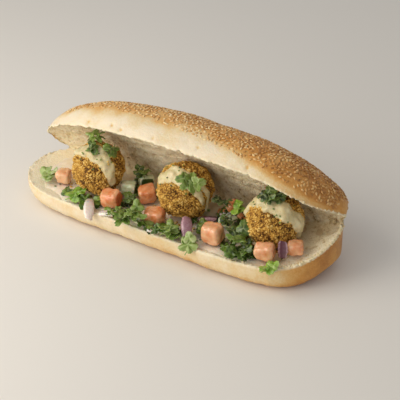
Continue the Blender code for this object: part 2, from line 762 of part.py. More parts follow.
def build_fillings(pile):
    """Lays each filling in turn, moving a small piece that would cross one laid before."""
    cream = material("tahini", (0.80, 0.68, 0.50), 0.35)
    fried = material("falafel", (0.42, 0.20, 0.06), 0.8)
    chopped = material("salad", (0.20, 0.24, 0.08), 0.5)
    tomato = material("tomato", (0.80, 0.22, 0.08), 0.3)
    cucumber = material("cucumber", (0.55, 0.66, 0.35), 0.35)
    onion = material("onion", (0.62, 0.42, 0.52), 0.3)
    green = material("herb", (0.10, 0.24, 0.04), 0.5)
    pile.add(tahini_spread(cream))
    for name in FALAFELS:
        pile.add(falafel(name, fried))
    for name in SALAD_HEAPS:
        pile.add(salad_heap(name, chopped))
    for i, (x, y, lift, turn, *size) in enumerate(TOMATO_DICE):
        piece = dice(size, i)
        pose(piece, (x, y, 0.0), turn, 6.0, -4.0)
        rest_on_floor(piece, lift)
        clear(piece, pile, DICE_STEP)
        pile.add(finish(f"tomato_dice_{i + 1}", piece, tomato, crease=30.0))
    for i, (x, y, lift, turn, *size) in enumerate(CUCUMBER_DICE):
        piece = dice(size, i + 20)
        pose(piece, (x, y, 0.0), turn, -5.0, 7.0)
        rest_on_floor(piece, lift)
        clear(piece, pile, DICE_STEP)
        pile.add(finish(f"cucumber_dice_{i + 1}", piece, cucumber, crease=30.0))
    for i, (x, y, z, turn, tip, roll, radius, width, thickness, arc) in enumerate(ONION_STRIPS):
        piece = strip(radius, width, thickness, arc / 2.0)
        pose(piece, (x, y, z), turn, tip, roll)
        clear(piece, pile, LEAF_STEP)
        pile.add(finish(f"onion_strip_{i + 1}", piece, onion))
    for i, (name, (x, y, z, turn, tip, roll, radius, lobes)) in enumerate(HERB_LEAVES.items()):
        piece = leaf(radius, lobes, i)
        pose(piece, (x, y, z), turn, tip, roll)
        clear(piece, pile, LEAF_STEP)
        pile.add(finish("leaf_" + name, piece, green))
    for name, (ball, azimuth, elevation, turn, radius, lobes) in BALL_LEAVES.items():
        piece = leaf(radius, lobes, turn)
        lay_on_ball(piece, ball, azimuth, elevation, turn)
        clear(piece, pile, direction(azimuth, elevation) * 0.2)
        pile.add(finish("leaf_" + name, piece, green))


def main():
    clear_scene()
    pile = Pile()
    pile.add(build_bread())
    build_fillings(pile)


main()
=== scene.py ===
"""A sesame sub roll opened at its front and filled with falafel, salad and tahini.

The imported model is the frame. Each class below makes one kind of thing in the roll. Sizes are
in millimetres and angles in degrees unless a name says otherwise. +X runs along the roll, +Y
points to its uncut back, and +Z is up.
"""

import logging
import math
import random
from collections.abc import Callable
from dataclasses import dataclass, field, replace
from enum import Enum
from itertools import product

import bpy
import numpy as np
from mathutils import Matrix, Vector, noise
from mathutils.kdtree import KDTree


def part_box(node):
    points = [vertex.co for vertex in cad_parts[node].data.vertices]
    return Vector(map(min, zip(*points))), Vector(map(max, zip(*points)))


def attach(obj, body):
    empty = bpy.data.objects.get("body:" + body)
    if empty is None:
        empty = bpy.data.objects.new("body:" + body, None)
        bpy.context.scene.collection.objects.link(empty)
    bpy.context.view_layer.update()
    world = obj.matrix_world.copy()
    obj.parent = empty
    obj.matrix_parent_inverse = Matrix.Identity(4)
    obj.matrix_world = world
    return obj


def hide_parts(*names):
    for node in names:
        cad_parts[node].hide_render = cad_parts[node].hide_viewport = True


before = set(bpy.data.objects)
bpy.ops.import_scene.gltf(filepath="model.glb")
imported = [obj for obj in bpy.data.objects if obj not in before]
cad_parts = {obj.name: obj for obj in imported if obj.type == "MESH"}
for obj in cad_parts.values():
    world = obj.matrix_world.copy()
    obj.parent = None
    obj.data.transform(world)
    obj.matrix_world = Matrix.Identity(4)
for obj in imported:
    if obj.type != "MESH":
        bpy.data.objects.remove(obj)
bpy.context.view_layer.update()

MM = 0.001
Array = np.ndarray
Thing = bpy.types.Object
Socket = bpy.types.NodeSocket
Inputs = dict[int | str, object]
Stops = tuple[tuple[float, str], ...]
Triple = tuple[float, float, float]
log = logging.getLogger("roll")


# Small tools

def linear(code: str) -> tuple[float, float, float, float]:
    """Turns an sRGB hex colour into linear values.

    Args:
        code: the colour, such as "#E6D2AA".
    Returns:
        Red, green, blue and an alpha of 1.
    """
    parts = [int(code[i:i + 2], 16) / 255 for i in (1, 3, 5)]
    made = [p / 12.92 if p <= 0.04045 else ((p + 0.055) / 1.055) ** 2.4 for p in parts]
    return (*made, 1.0)


def ramp(value: float | Array, low: float | Array, high: float | Array) -> Array:
    """Rises smoothly from 0 where the value is low to 1 where it is high."""
    share = np.clip((value - low) / (high - low), 0.0, 1.0)
    return share * share * (3.0 - 2.0 * share)


@dataclass(frozen=True)
class Fade:
    """A smooth rise from 0 to its most, with where it starts and where it ends."""

    start: float
    end: float
    most: float = 1.0

    def at(self, value: float | Array) -> Array:
        """How far it has risen at a value."""
        return self.most * ramp(value, self.start, self.end)


def hills(points: Array, size: float) -> Array:
    """Soft noise from about -1 to 1 at places in mm, its hills about as wide as the size."""
    flat = points.reshape(-1, 3) / size
    return np.array([noise.noise(Vector(p)) for p in flat]).reshape(points.shape[:-1])


def waves(points: Array, *layers: tuple[float, float]) -> Array:
    """Soft noise in several layers, each with the height and the width of its hills."""
    return sum(height * hills(points, width) for height, width in layers)


def grains(points: Array, size: float) -> tuple[Array, Array, Array]:
    """Distances to the two nearest of many scattered grain centres, as shares of the size.

    Args:
        points: places in mm, as rows of x, y, z.
        size: the usual distance between grains in mm.
    Returns:
        The distance to the nearest grain, the distance to the one after it, and a tone from
        -1 to 1 that is the same all over one grain.
    """
    found = np.empty((len(points), 3))
    for row, point in zip(found, points / size):
        away, centres = noise.voronoi(Vector(point))
        row[:] = away[0], away[1], noise.noise(centres[0] * 7.3)
    return found[:, 0], found[:, 1], np.clip(2.0 * found[:, 2], -1.0, 1.0)


def direction(azimuth: float, elevation: float) -> Array:
    """The unit vector at an azimuth, from +X towards +Y, and an elevation above level."""
    a, e = math.radians(azimuth), math.radians(elevation)
    return np.array([math.cos(a) * math.cos(e), math.sin(a) * math.cos(e), math.sin(e)])


def joined(*coordinates: float | Array) -> Array:
    """Places from their separate coordinates, all stretched to one shape."""
    return np.stack(np.broadcast_arrays(*coordinates), axis=-1)


def bowed(wave: Array, power: float) -> Array:
    """A wave from -1 to 1 that keeps its sign while its size is raised to a power."""
    return np.sign(wave) * np.abs(wave) ** power


def capped(table: Array) -> Array:
    """A table of places with one more row at each end, at the middle of the row beside it."""
    ends = [np.repeat(table[i].mean(0)[None, None], table.shape[1], axis=1) for i in (0, -1)]
    return np.concatenate([ends[0], table, ends[1]], axis=0)


def finder(points: Array) -> KDTree:
    """Prepares a search for the nearest of the points.

    Args:
        points: places in mm, as rows.
    Returns:
        The tree, which finds a place, its row and its distance.
    """
    tree = KDTree(len(points))
    for i, point in enumerate(points):
        tree.insert(point, i)
    tree.balance()
    return tree


def places(thing: Thing) -> Array:
    """The mesh's points in mm, as rows."""
    flat = np.empty(len(thing.data.vertices) * 3)
    thing.data.vertices.foreach_get("co", flat)
    return flat.reshape(-1, 3) / MM


def set_places(thing: Thing, points: Array) -> None:
    """Moves the mesh's points to new places in mm, as rows."""
    thing.data.vertices.foreach_set("co", (points * MM).ravel())
    thing.data.update()


def normals(thing: Thing) -> Array:
    """The outward direction at each of the mesh's points, as rows."""
    flat = np.empty(len(thing.data.vertices) * 3)
    thing.data.vertex_normals.foreach_get("vector", flat)
    return flat.reshape(-1, 3)


def paint(thing: Thing, name: str, values: Array) -> None:
    """Stores one number for each point, which a material reads by its name."""
    layer = thing.data.attributes.get(name) or thing.data.attributes.new(name, "FLOAT", "POINT")
    layer.data.foreach_set("value", np.asarray(values, np.float32).ravel())


def painted(thing: Thing, name: str) -> Array:
    """The numbers stored under a name, one for each point.

    Args:
        thing: the object.
        name: the attribute's name.
    Returns:
        The numbers.
    """
    layer = thing.data.attributes[name]
    values = np.empty(len(thing.data.vertices), np.float32)
    layer.data.foreach_get("value", values)
    return values.astype(float)


def deselect() -> None:
    """Leaves nothing selected."""
    bpy.ops.object.select_all(action="DESELECT")


def pick(thing: Thing) -> Thing:
    """Makes the object the only one selected, and active.

    Args:
        thing: the object.
    Returns:
        The same object.
    """
    deselect()
    thing.select_set(True)
    bpy.context.view_layer.objects.active = thing
    return thing


def mend(thing: Thing, merge: float = 0.002) -> Thing:
    """Joins points that meet and turns every face outwards.

    Args:
        thing: the object to mend.
        merge: how near two points are joined, in mm.
    Returns:
        The same object.
    """
    pick(thing)
    bpy.ops.object.mode_set(mode="EDIT")
    bpy.ops.mesh.select_all(action="SELECT")
    bpy.ops.mesh.remove_doubles(threshold=merge * MM)
    bpy.ops.mesh.dissolve_degenerate(threshold=1e-7)
    bpy.ops.mesh.select_all(action="SELECT")
    bpy.ops.mesh.normals_make_consistent(inside=False)
    bpy.ops.object.mode_set(mode="OBJECT")
    return thing


def primitive(add: Callable, name: str, **sizes: float) -> tuple[Thing, Array]:
    """Adds a primitive to be shaped.

    Args:
        add: the operator that adds it.
        name: the object's name.
        sizes: the operator's settings.
    Returns:
        The object, and its points in the operator's own units.
    """
    deselect()
    add(**sizes)
    made = bpy.context.object
    made.name = made.data.name = name
    return made, places(made) * MM


def surface(name: str, table: Array, marks: dict[str, Array] | None = None) -> Thing:
    """A grid primitive whose points are moved to the table's places, its seams and poles closed.

    Args:
        name: the object's name.
        table: places in mm, one for each column and row of the grid.
        marks: numbers to store for each column and row, by name.
    Returns:
        The new object.
    """
    columns, rows = table.shape[0] - 1, table.shape[1] - 1
    grid = bpy.ops.mesh.primitive_grid_add
    made, spots = primitive(grid, name, x_subdivisions=columns, y_subdivisions=rows, size=1.0)
    i = np.rint((spots[:, 0] + 0.5) * columns).astype(int)
    j = np.rint((spots[:, 1] + 0.5) * rows).astype(int)
    set_places(made, table[i, j])
    for mark, values in (marks or {}).items():
        paint(made, mark, values[i, j])
    return mend(made)


def apply(thing: Thing, kind: str, **settings: object) -> Thing:
    """Adds one modifier with its settings and applies it.

    Args:
        thing: the object it shapes.
        kind: the modifier's type.
        settings: its properties by name.
    Returns:
        The same object.
    """
    pick(thing)
    modifier = thing.modifiers.new(kind.title(), kind)
    for name, value in settings.items():
        setattr(modifier, name, value)
    bpy.ops.object.modifier_apply(modifier=modifier.name)
    return thing


def smooth(thing: Thing, angle: float = 180.0) -> Thing:
    """Shades the object smooth.

    Args:
        thing: the object.
        angle: the most degrees between two faces that are shaded as one.
    Returns:
        The same object.
    """
    pick(thing)
    if angle >= 180.0:
        bpy.ops.object.shade_smooth()
    else:
        bpy.ops.object.shade_smooth_by_angle(angle=math.radians(angle))
    return thing


def dress(thing: Thing, finish: bpy.types.Material, slot: str, *nodes: str) -> Thing:
    """Gives a piece its finish and its place on the body.

    Args:
        thing: the finished piece.
        finish: its material.
        slot: the record's material slot, which is not used.
        nodes: the CAD nodes that it stands for.
    Returns:
        The same piece.
    """
    thing.data.materials.clear()
    thing.data.materials.append(finish)
    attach(thing, "root")
    if nodes:
        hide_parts(*nodes)
    log.info("%s: %d faces", thing.name, len(thing.data.polygons))
    return thing


def settle(points: Array, node: str) -> Array:
    """Moves points so that their box has the same centre as a CAD node's.

    Args:
        points: places in mm.
        node: the CAD node.
    Returns:
        The moved places.
    """
    low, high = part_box(node)
    want = np.array((low + high) / 2) / MM
    return points + want - (points.min(0) + points.max(0)) / 2


def turned(points: Array, turn: float, tip: float = 0.0, roll: float = 0.0) -> Array:
    """Turns points about Z, after tipping them about X and rolling them about Y.

    Args:
        points: places in mm.
        turn: degrees about Z.
        tip: degrees about X.
        roll: degrees about Y.
    Returns:
        The turned places.
    """
    matrix = Matrix.Identity(3)
    for angle, axis in ((turn, "Z"), (tip, "X"), (roll, "Y")):
        matrix = matrix @ Matrix.Rotation(math.radians(angle), 3, axis)
    return points @ np.array(matrix).T


def tumbled(draw: random.Random, place: Matrix, lean: float) -> Matrix:
    """Turns a place at random about Z, then leans it about X and Y.

    Args:
        draw: the random numbers.
        place: the place.
        lean: the most lean in degrees.
    Returns:
        The turned place.
    """
    for axis, most in (("Z", 180.0), ("X", lean), ("Y", lean)):
        place = place @ Matrix.Rotation(math.radians(draw.uniform(-most, most)), 4, axis)
    return place


# Finishes

class Kind(Enum):
    """The nodes that the finishes are made of: each one's type and the output that is used."""

    CLOUD = ("TexNoise", 0)
    GRAIN = ("TexVoronoi", 0)
    PLACE = ("TexCoord", "Object")
    STORED = ("Attribute", 2)
    STRETCH = ("MapRange", 0)
    MATHS = ("Math", 0)
    BLEND = ("Mix", 2)
    RAMP = ("ValToRGB", 0)
    RELIEF = ("Bump", 0)


def swing(pattern: Socket, most: float, low: float = 0.3, high: float = 0.7) -> Inputs:
    """The inputs of a STRETCH node that turns low into -most and high into most."""
    return {0: pattern, 1: low, 2: high, 3: -most, 4: most}


class Recipe:
    """A material while it is made: its node tree and its shader."""

    def __init__(self, name: str, values: Inputs) -> None:
        """Starts the material.

        Args:
            name: its name.
            values: the shader's values that are the same all over.
        """
        self.material = bpy.data.materials.new(name)
        self.material.use_nodes = True
        self.tree = self.material.node_tree
        self.shader = self.tree.nodes["Principled BSDF"]
        for socket, value in values.items():
            self.shader.inputs[socket].default_value = value
        self.place = self.add(Kind.PLACE, {})

    def add(self, kind: Kind, inputs: Inputs, stops: Stops = (), **settings: object) -> Socket:
        """Adds one node, sets its properties, and sets or links its inputs.

        Args:
            kind: the node.
            inputs: names or numbers, each with a value, a hex colour or a socket to link from.
            stops: places from 0 to 1 with hex colours, for a node that has a colour ramp.
            settings: its properties by name.
        Returns:
            The node's output.
        """
        type_name, output = kind.value
        node = self.tree.nodes.new("ShaderNode" + type_name)
        for name, value in settings.items():
            setattr(node, name, value)
        for socket, value in inputs.items():
            if isinstance(value, Socket):
                self.tree.links.new(value, node.inputs[socket])
            else:
                node.inputs[socket].default_value = linear(value) if isinstance(value, str) else value
        if stops:
            band = node.color_ramp.elements
            for element, (place, code) in zip(band, (stops[0], stops[-1])):
                element.position, element.color = place, linear(code)
            for place, code in stops[1:-1]:
                band.new(place).color = linear(code)
        return node.outputs[output]

    def pattern(self, size: float, detail: float = 3.0) -> Inputs:
        """The inputs of a pattern whose features are about as wide as the size in mm."""
        return {"Vector": self.place, "Scale": 1.0 / (size * MM), "Detail": detail}

    def done(self, colour: Socket, height: Socket, depth: float, shown: float = 1.0) -> bpy.types.Material:
        """Gives the shader its colour and fine relief.

        Args:
            colour: the colour.
            height: the relief, from 0 to 1.
            depth: how deep the relief is in mm.
            shown: how much of it shows.
        Returns:
            The material.
        """
        relief = self.add(Kind.RELIEF, {"Height": height, "Distance": depth * MM, "Strength": shown})
        self.tree.links.new(colour, self.shader.inputs["Base Color"])
        self.tree.links.new(relief, self.shader.inputs["Normal"])
        return self.material


@dataclass(frozen=True)
class Finish:
    """A finish that starts from one shader: its name and the values that are the same all over."""

    name: str
    roughness: float
    ior: float = 1.45
    subsurface: float = 0.0
    glow_depth: Triple = (1.0, 0.5, 0.25)
    glow_scale: float = 0.001
    coat: float = 0.0
    coat_roughness: float = 0.1

    def start(self) -> Recipe:
        """The material with the values that are the same all over."""
        return Recipe(self.name, {
            "Roughness": self.roughness, "IOR": self.ior, "Subsurface Weight": self.subsurface,
            "Subsurface Radius": self.glow_depth, "Subsurface Scale": self.glow_scale,
            "Coat Weight": self.coat, "Coat Roughness": self.coat_roughness,
        })


class Baked(Finish):
    """Baked wheat bread: crust browned where it caught the heat, open crumb where it was cut.

    The crust is satin, so the crown has a soft broad highlight. The crumb is matt, cream, and
    full of pores about 1 to 3 mm wide. Shade is painted into its pores, into the crumb inside the
    mouth and onto the lower wall's foot.
    """

    def build(self) -> bpy.types.Material:
        """Makes the material from what the bread stores: crumb; bake, its browning with some painted
        shade on the lower wall; pore, painted shade in the pores; and roof, painted shade in the mouth.

        Returns:
            The material.
        """
        mix = self.start()
        crumb, bake, pore, roof = (
            mix.add(Kind.STORED, {}, attribute_name=name) for name in ("crumb", "bake", "pore", "roof")
        )
        broad = mix.add(Kind.CLOUD, mix.pattern(16.0, 2.0))
        cloud = mix.add(Kind.CLOUD, mix.pattern(5.0, 5.0))
        fine = mix.add(Kind.CLOUD, mix.pattern(1.6, 4.0))
        speck = mix.add(Kind.GRAIN, mix.pattern(1.1, 0.0))
        speckled = mix.add(Kind.MATHS, {0: fine, 1: speck})

        patchy = mix.add(Kind.MATHS, {0: bake, 1: mix.add(Kind.STRETCH, swing(broad, 0.13))})
        brown = mix.add(Kind.MATHS, {0: patchy, 1: mix.add(Kind.STRETCH, swing(fine, 0.06))})
        crust = mix.add(Kind.RAMP, {0: brown}, (
            (0.0, "#ECDCBE"), (0.2, "#E4CB9B"), (0.4, "#DDB06C"),
            (0.6, "#CF9448"), (0.8, "#B27331"), (1.0, "#86501F"),
        ))
        # The pores darken the crumb: painted shade in them, with random tone.
        airy = mix.add(Kind.MATHS, {0: pore, 1: mix.add(Kind.STRETCH, swing(fine, 0.12))})
        lit = mix.add(Kind.RAMP, {0: airy}, (
            (0.0, "#F1E4C5"), (0.3, "#ECDBB4"), (0.65, "#E1CB9C"), (1.0, "#C7AC78"),
        ))
        # A darker copy of the crumb colours, blended in by roof: painted shade inside the mouth and in the
        # right pocket.
        hollow = mix.add(Kind.STRETCH, {0: cloud, 1: 0.38, 2: 0.62, 3: -0.3, 4: 0.34})
        grit = mix.add(Kind.STRETCH, {0: speckled, 1: 0.75, 2: 1.25, 3: -0.2, 4: 0.26})
        dim = mix.add(Kind.MATHS, {0: mix.add(Kind.MATHS, {0: hollow, 1: airy}), 1: grit})
        shaded = mix.add(Kind.RAMP, {0: dim}, (
            (0.0, "#F4E6C6"), (0.35, "#E8D5AC"), (0.65, "#CFB588"), (1.0, "#8C7046"),
        ))
        shade = mix.add(Kind.MATHS, {0: roof, 1: 0.72}, operation="MULTIPLY")
        inner = mix.add(Kind.BLEND, {0: shade, 6: lit, 7: shaded}, data_type="RGBA")
        colour = mix.add(Kind.BLEND, {0: crumb, 6: crust, 7: inner}, data_type="RGBA")

        satin_to_matt = mix.add(Kind.STRETCH, {0: crumb, 3: 0.42, 4: 0.9})
        mix.tree.links.new(satin_to_matt, mix.shader.inputs["Roughness"])
        torn = mix.add(Kind.STRETCH, {0: crumb, 3: 0.2, 4: 0.4})
        ragged = mix.add(Kind.MATHS, {0: roof, 1: 0.5, 2: torn}, operation="MULTIPLY_ADD")
        rough = mix.add(Kind.MATHS, {0: speckled, 1: ragged}, operation="MULTIPLY")
        return mix.done(colour, rough, 0.55)


class Toasted(Finish):
    """Toasted sesame: each small seed has a pale cream body and a browner tip, and a soft gloss."""

    def build(self) -> bpy.types.Material:
        """Makes the material from what the seeds store: tint.

        Returns:
            The material.
        """
        mix = self.start()
        tint = mix.add(Kind.STORED, {}, attribute_name="tint")
        streak = mix.add(Kind.STRETCH, swing(mix.add(Kind.CLOUD, mix.pattern(1.2)), 0.15))
        colour = mix.add(Kind.RAMP, {0: mix.add(Kind.MATHS, {0: tint, 1: streak})}, (
            (0.0, "#F1DAAC"), (0.4, "#E3BD80"), (0.75, "#D09A55"), (1.0, "#A87236"),
        ))
        return mix.done(colour, mix.add(Kind.CLOUD, mix.pattern(0.5)), 0.06)


class Sauced(Finish):
    """Sesame sauce: thick, smooth and opaque, with a wet gloss and faint streaks where it ran."""

    def build(self, thin: str, thick: str, fleck: str) -> bpy.types.Material:
        """Makes the material from what the sauce stores, where it soaks into crumb: soak.

        Args:
            thin: the colour where the sauce is thin.
            thick: the colour where it is thick.
            fleck: the colour of the ground seed in it.
        Returns:
            The material.
        """
        mix = self.start()
        soak = mix.add(Kind.STORED, {}, attribute_name="soak")
        cloud = mix.add(Kind.CLOUD, mix.pattern(5.0))
        grit = mix.add(Kind.CLOUD, mix.pattern(0.9, 2.0))
        streak = mix.add(Kind.STRETCH, {0: cloud, 1: 0.35, 2: 0.65})
        seedy = mix.add(Kind.STRETCH, {0: grit, 1: 0.62, 2: 0.78, 4: 0.45})
        colour = mix.add(Kind.BLEND, {0: streak, 6: thin, 7: thick}, data_type="RGBA")
        colour = mix.add(Kind.BLEND, {0: seedy, 6: colour, 7: fleck}, data_type="RGBA")
        colour = mix.add(Kind.BLEND, {0: soak, 6: colour, 7: "#D3B98C"}, data_type="RGBA")
        return mix.done(colour, mix.add(Kind.MATHS, {0: cloud, 1: grit}), 0.3, 0.7)


class Fried(Finish):
    """Deep-fried chickpea crust: crumbly, ochre where a crag stands out and dark brown between; the light
    crags and dark gaps are painted light and shade, with the crust's own random tone.
    """

    def build(self) -> bpy.types.Material:
        """Makes the material from what a ball stores: crag.

        Returns:
            The material.
        """
        mix = self.start()
        crag = mix.add(Kind.STORED, {}, attribute_name="crag")
        fine = mix.add(Kind.CLOUD, mix.pattern(1.3, 4.0))
        broad = mix.add(Kind.CLOUD, mix.pattern(9.0, 2.0))
        speck = mix.add(Kind.GRAIN, mix.pattern(0.8, 0.0))
        height = mix.add(Kind.MATHS, {0: crag, 1: mix.add(Kind.STRETCH, swing(fine, 0.16))})
        height = mix.add(Kind.MATHS, {0: height, 1: mix.add(Kind.STRETCH, swing(broad, 0.12))})
        # Low crag values give dark brown gaps and high ones pale ochre crags: painted shade and painted
        # light.
        colour = mix.add(Kind.RAMP, {0: height}, (
            (0.0, "#54360E"), (0.18, "#8A5C1B"), (0.38, "#BF8C34"), (0.62, "#DCAD50"), (0.92, "#F0D288"),
        ))
        return mix.done(colour, mix.add(Kind.MATHS, {0: fine, 1: speck}), 0.35)


class Flesh(Finish):
    """Cut vegetable flesh: wet, a little translucent, paler at its heart and darker at its skin."""

    def build(self, heart: str, body: str, skin: str, thread: float) -> bpy.types.Material:
        """Makes the material from what a piece stores: pale and skin; on the large dice, pale also holds a
        painted highlight along their edges.

        Args:
            heart: the palest colour.
            body: the usual colour.
            skin: the colour of the skin side.
            thread: the width of its fibres in mm.
        Returns:
            The material.
        """
        mix = self.start()
        pale, rind = (mix.add(Kind.STORED, {}, attribute_name=name) for name in ("pale", "skin"))
        cloud = mix.add(Kind.CLOUD, mix.pattern(thread * 3.0))
        fibre = mix.add(Kind.CLOUD, mix.pattern(thread, 4.0))
        uneven = mix.add(Kind.STRETCH, swing(cloud, 0.25, 0.35, 0.65))
        light = mix.add(Kind.MATHS, {0: pale, 1: uneven})
        threads = mix.add(Kind.STRETCH, {0: fibre, 1: 0.5, 2: 0.75, 4: 0.4})
        colour = mix.add(Kind.BLEND, {0: light, 6: body, 7: heart}, data_type="RGBA")
        colour = mix.add(Kind.BLEND, {0: threads, 6: colour, 7: heart}, data_type="RGBA")
        colour = mix.add(Kind.BLEND, {0: rind, 6: colour, 7: skin}, data_type="RGBA")
        return mix.done(colour, mix.add(Kind.MATHS, {0: cloud, 1: fibre}), 0.25, 0.8)


class Leafy(Finish):
    """Fresh herb leaf: satin green with paler veins, a darker face and a bluish pale underside."""

    def build(self, *greens: str) -> bpy.types.Material:
        """Makes the material from what a leaf stores: vein and tint.

        Args:
            greens: five colours from its darkest to its palest.
        Returns:
            The material.
        """
        mix = self.start()
        vein, tint = (mix.add(Kind.STORED, {}, attribute_name=name) for name in ("vein", "tint"))
        cloud = mix.add(Kind.STRETCH, swing(mix.add(Kind.CLOUD, mix.pattern(3.0)), 0.16))
        shade = mix.add(Kind.MATHS, {0: tint, 1: cloud})
        stops = tuple((0.25 * i, green) for i, green in enumerate(greens))
        blade = mix.add(Kind.RAMP, {0: shade}, stops)
        faint = mix.add(Kind.MATHS, {0: vein, 1: 0.55}, operation="MULTIPLY")
        colour = mix.add(Kind.BLEND, {0: faint, 6: blade, 7: "#B3BF7E"}, data_type="RGBA")
        return mix.done(colour, mix.add(Kind.CLOUD, mix.pattern(0.8)), 0.15, 0.7)


# The roll

class Half(Enum):
    """The two halves of the slit roll."""

    LOWER = 0
    UPPER = 1


@dataclass
class RollForm:
    """The shape of the slit and opened roll, from the same sizes as the solid."""

    half_length: float = 127.0
    half_width: float = 40.5
    cut_base: float = 17.0
    crust_lump: float = 0.7
    lump_size: float = 26.0
    squareness: tuple[float, float] = (7.0, 6.0)
    tip_skew: float = 6.0
    wall_fullness: float = 5.0
    wall_overreach: float = 1.03
    left_lift: Triple = (10.0, 0.62, 2.6)
    right_lift: Triple = (13.0, 0.84, 2.0)
    upper_tip: float = 125.0
    crown_rise: float = 42.0
    crown_peak: float = 15.0
    crown_bluntness: float = 2.6
    crown_fullness: tuple[float, float] = (2.1, 1.95)
    crown_roundness: float = 2.2
    overhang: float = 2.0
    least_width: float = 0.5
    tip_y: tuple[float, float] = (0.0, 15.0)
    rim_curve: tuple[tuple[float, float], tuple[float, float]] = ((4.0, 1.2), (5.0, 1.1))
    hinge_y: float = 25.0
    open_ends: float = 50.0
    open_middle: float = 55.0
    widest: float = 0.15
    climb: Triple = (17.0, 0.5, 1.7)
    climb_front: float = -45.0
    right_rise: float = 2.0
    lower_dish: float = 3.0
    upper_dish: float = 7.5
    dish_fullness: float = 0.8

    def arch(self, share: Array, bluntness: float | Array, fullness: float | Array) -> Array:
        """1 at the middle and 0 at both tips, blunt where it stays near 1, full where it ends round."""
        return np.clip(1.0 - np.abs(share) ** bluntness, 0.0, None) ** (1.0 / fullness)

    def lower_sides(self, x: Array) -> tuple[Array, Array]:
        """The y of the lower half's front and back rims.

        Args:
            x: stations along the roll.
        Returns:
            Front and back.
        """
        share = x / self.half_length
        square = np.where(share < 0, *self.squareness)
        reach = self.half_width * self.arch(share, square, 2.0)
        skew = self.tip_skew * ramp(share, 0.75, 1.0)
        return skew - reach, skew + reach

    def upper_sides(self, x: Array) -> tuple[Array, Array]:
        """The y of the upper half's front and back rims before it is opened.

        Args:
            x: stations along the roll.
        Returns:
            Front and back.
        """
        back = self.lower_sides(x)[1]
        right = x > 0
        tip_y = np.where(right, self.tip_y[1], self.tip_y[0])
        blunt = np.where(right, self.rim_curve[1][0], self.rim_curve[0][0])
        full = np.where(right, self.rim_curve[1][1], self.rim_curve[0][1])
        share = np.minimum(1.0, np.abs(x) / self.upper_tip)
        reach = (self.half_width + self.overhang + tip_y) * self.arch(share, blunt, full)
        return np.minimum(tip_y - reach, back - self.least_width), back

    def cut_height(self, x: Array, y: Array) -> Array:
        """The height of the slit, which climbs towards the back of the right end.

        Args:
            x: places along the roll.
            y: places across it.
        Returns:
            The heights.
        """
        share = x / self.half_length
        most, start, power = self.climb
        climb = most * np.clip((share - start) / (1.0 - start), 0.0, None) ** power
        rise = self.right_rise * ramp(share, 0.2, 0.9)
        return self.cut_base + climb * ramp(y, self.climb_front, self.hinge_y) + rise

    def dish(self, x: Array, y: Array, front: Array, depth: float) -> Array:
        """How far the crumb is hollowed behind the cut.

        Args:
            x: places along the roll.
            y: places across it.
            front: the front rim's y there.
            depth: the deepest hollow.
        Returns:
            The depths.
        """
        share = np.clip((y - front) / (self.hinge_y - front), 0.0, 1.0)
        share = np.where(front < self.hinge_y, share, 0.0)
        ends = self.arch(x / self.half_length, 8.0, 1.0)
        return depth * ends * (4.0 * share * (1.0 - share)) ** self.dish_fullness

    def base_height(self, x: Array) -> Array:
        """How far the underside lifts off the table towards both tips.

        Args:
            x: stations along the roll.
        Returns:
            The heights.
        """
        share = x / self.half_length
        made = 0.0
        for side, (most, start, power) in ((-1, self.left_lift), (1, self.right_lift)):
            made = made + most * np.clip((side * share - start) / (1.0 - start), 0.0, None) ** power
        return made

    def opening(self, x: Array) -> Array:
        """The angle between the halves, in radians."""
        from_widest = np.abs((x / self.half_length - self.widest) / (1.1 - self.widest))
        middle = np.clip(1.0 - from_widest ** 2.2, 0.0, None)
        return np.radians(self.open_ends + (self.open_middle - self.open_ends) * middle)

    def opened(self, points: Array) -> Array:
        """Where points of the closed roll's upper half go when the roll is opened.

        Args:
            points: places in mm.
        Returns:
            Their places in the opened roll.
        """
        x, y, z = np.moveaxis(points, -1, 0)
        hinge_z = self.cut_height(x, np.full_like(x, self.hinge_y))
        angle = self.opening(x)
        reach, rise = self.hinge_y - y, z - hinge_z
        new_y = self.hinge_y - reach * np.cos(angle) + rise * np.sin(angle)
        new_z = hinge_z + reach * np.sin(angle) + rise * np.cos(angle)
        return joined(x, new_y, new_z)

    def closed(self, points: Array) -> Array:
        """Where points of the opened upper half lie in the closed roll.

        Args:
            points: places in mm.
        Returns:
            Their places in the closed roll.
        """
        x, y, z = np.moveaxis(points, -1, 0)
        hinge_z = self.cut_height(x, np.full_like(x, self.hinge_y))
        angle = self.opening(x)
        back, up = y - self.hinge_y, z - hinge_z
        reach = up * np.sin(angle) - back * np.cos(angle)
        rise = back * np.sin(angle) + up * np.cos(angle)
        return joined(x, self.hinge_y - reach, hinge_z + rise)

    def lower_cut(self, x: Array, y: Array) -> Array:
        """The height of the lower crumb."""
        front = self.lower_sides(x)[0]
        return self.cut_height(x, y) - self.dish(x, y, front, self.lower_dish)

    def upper_cut(self, x: Array, y: Array) -> Array:
        """The height of the upper crumb before opening."""
        front = self.upper_sides(x)[0]
        return self.cut_height(x, y) + self.dish(x, y, front, self.upper_dish)

    def lower_crust(self, x: Array, turn: Array) -> Array:
        """Points of the lower crust, from the front rim round to the back rim.

        Args:
            x: stations.
            turn: radians, 0 at the front rim and pi at the back.
        Returns:
            Places in mm.
        """
        front, back = self.lower_sides(x)
        across = bowed(np.cos(turn), 2.0 / self.wall_fullness)
        y = (front + back) / 2.0 - (back - front) / 2.0 * across
        rim, base = self.cut_height(x, y), self.base_height(x)
        swell = np.clip(np.sin(turn), 0.0, None) ** (2.0 / self.wall_fullness)
        z = rim - (rim - base) * self.wall_overreach * swell
        points = joined(x, y, z)
        points[..., 1] += self.crust_lump * hills(points, self.lump_size)
        points[..., 2] = np.maximum(points[..., 2], base)
        return points

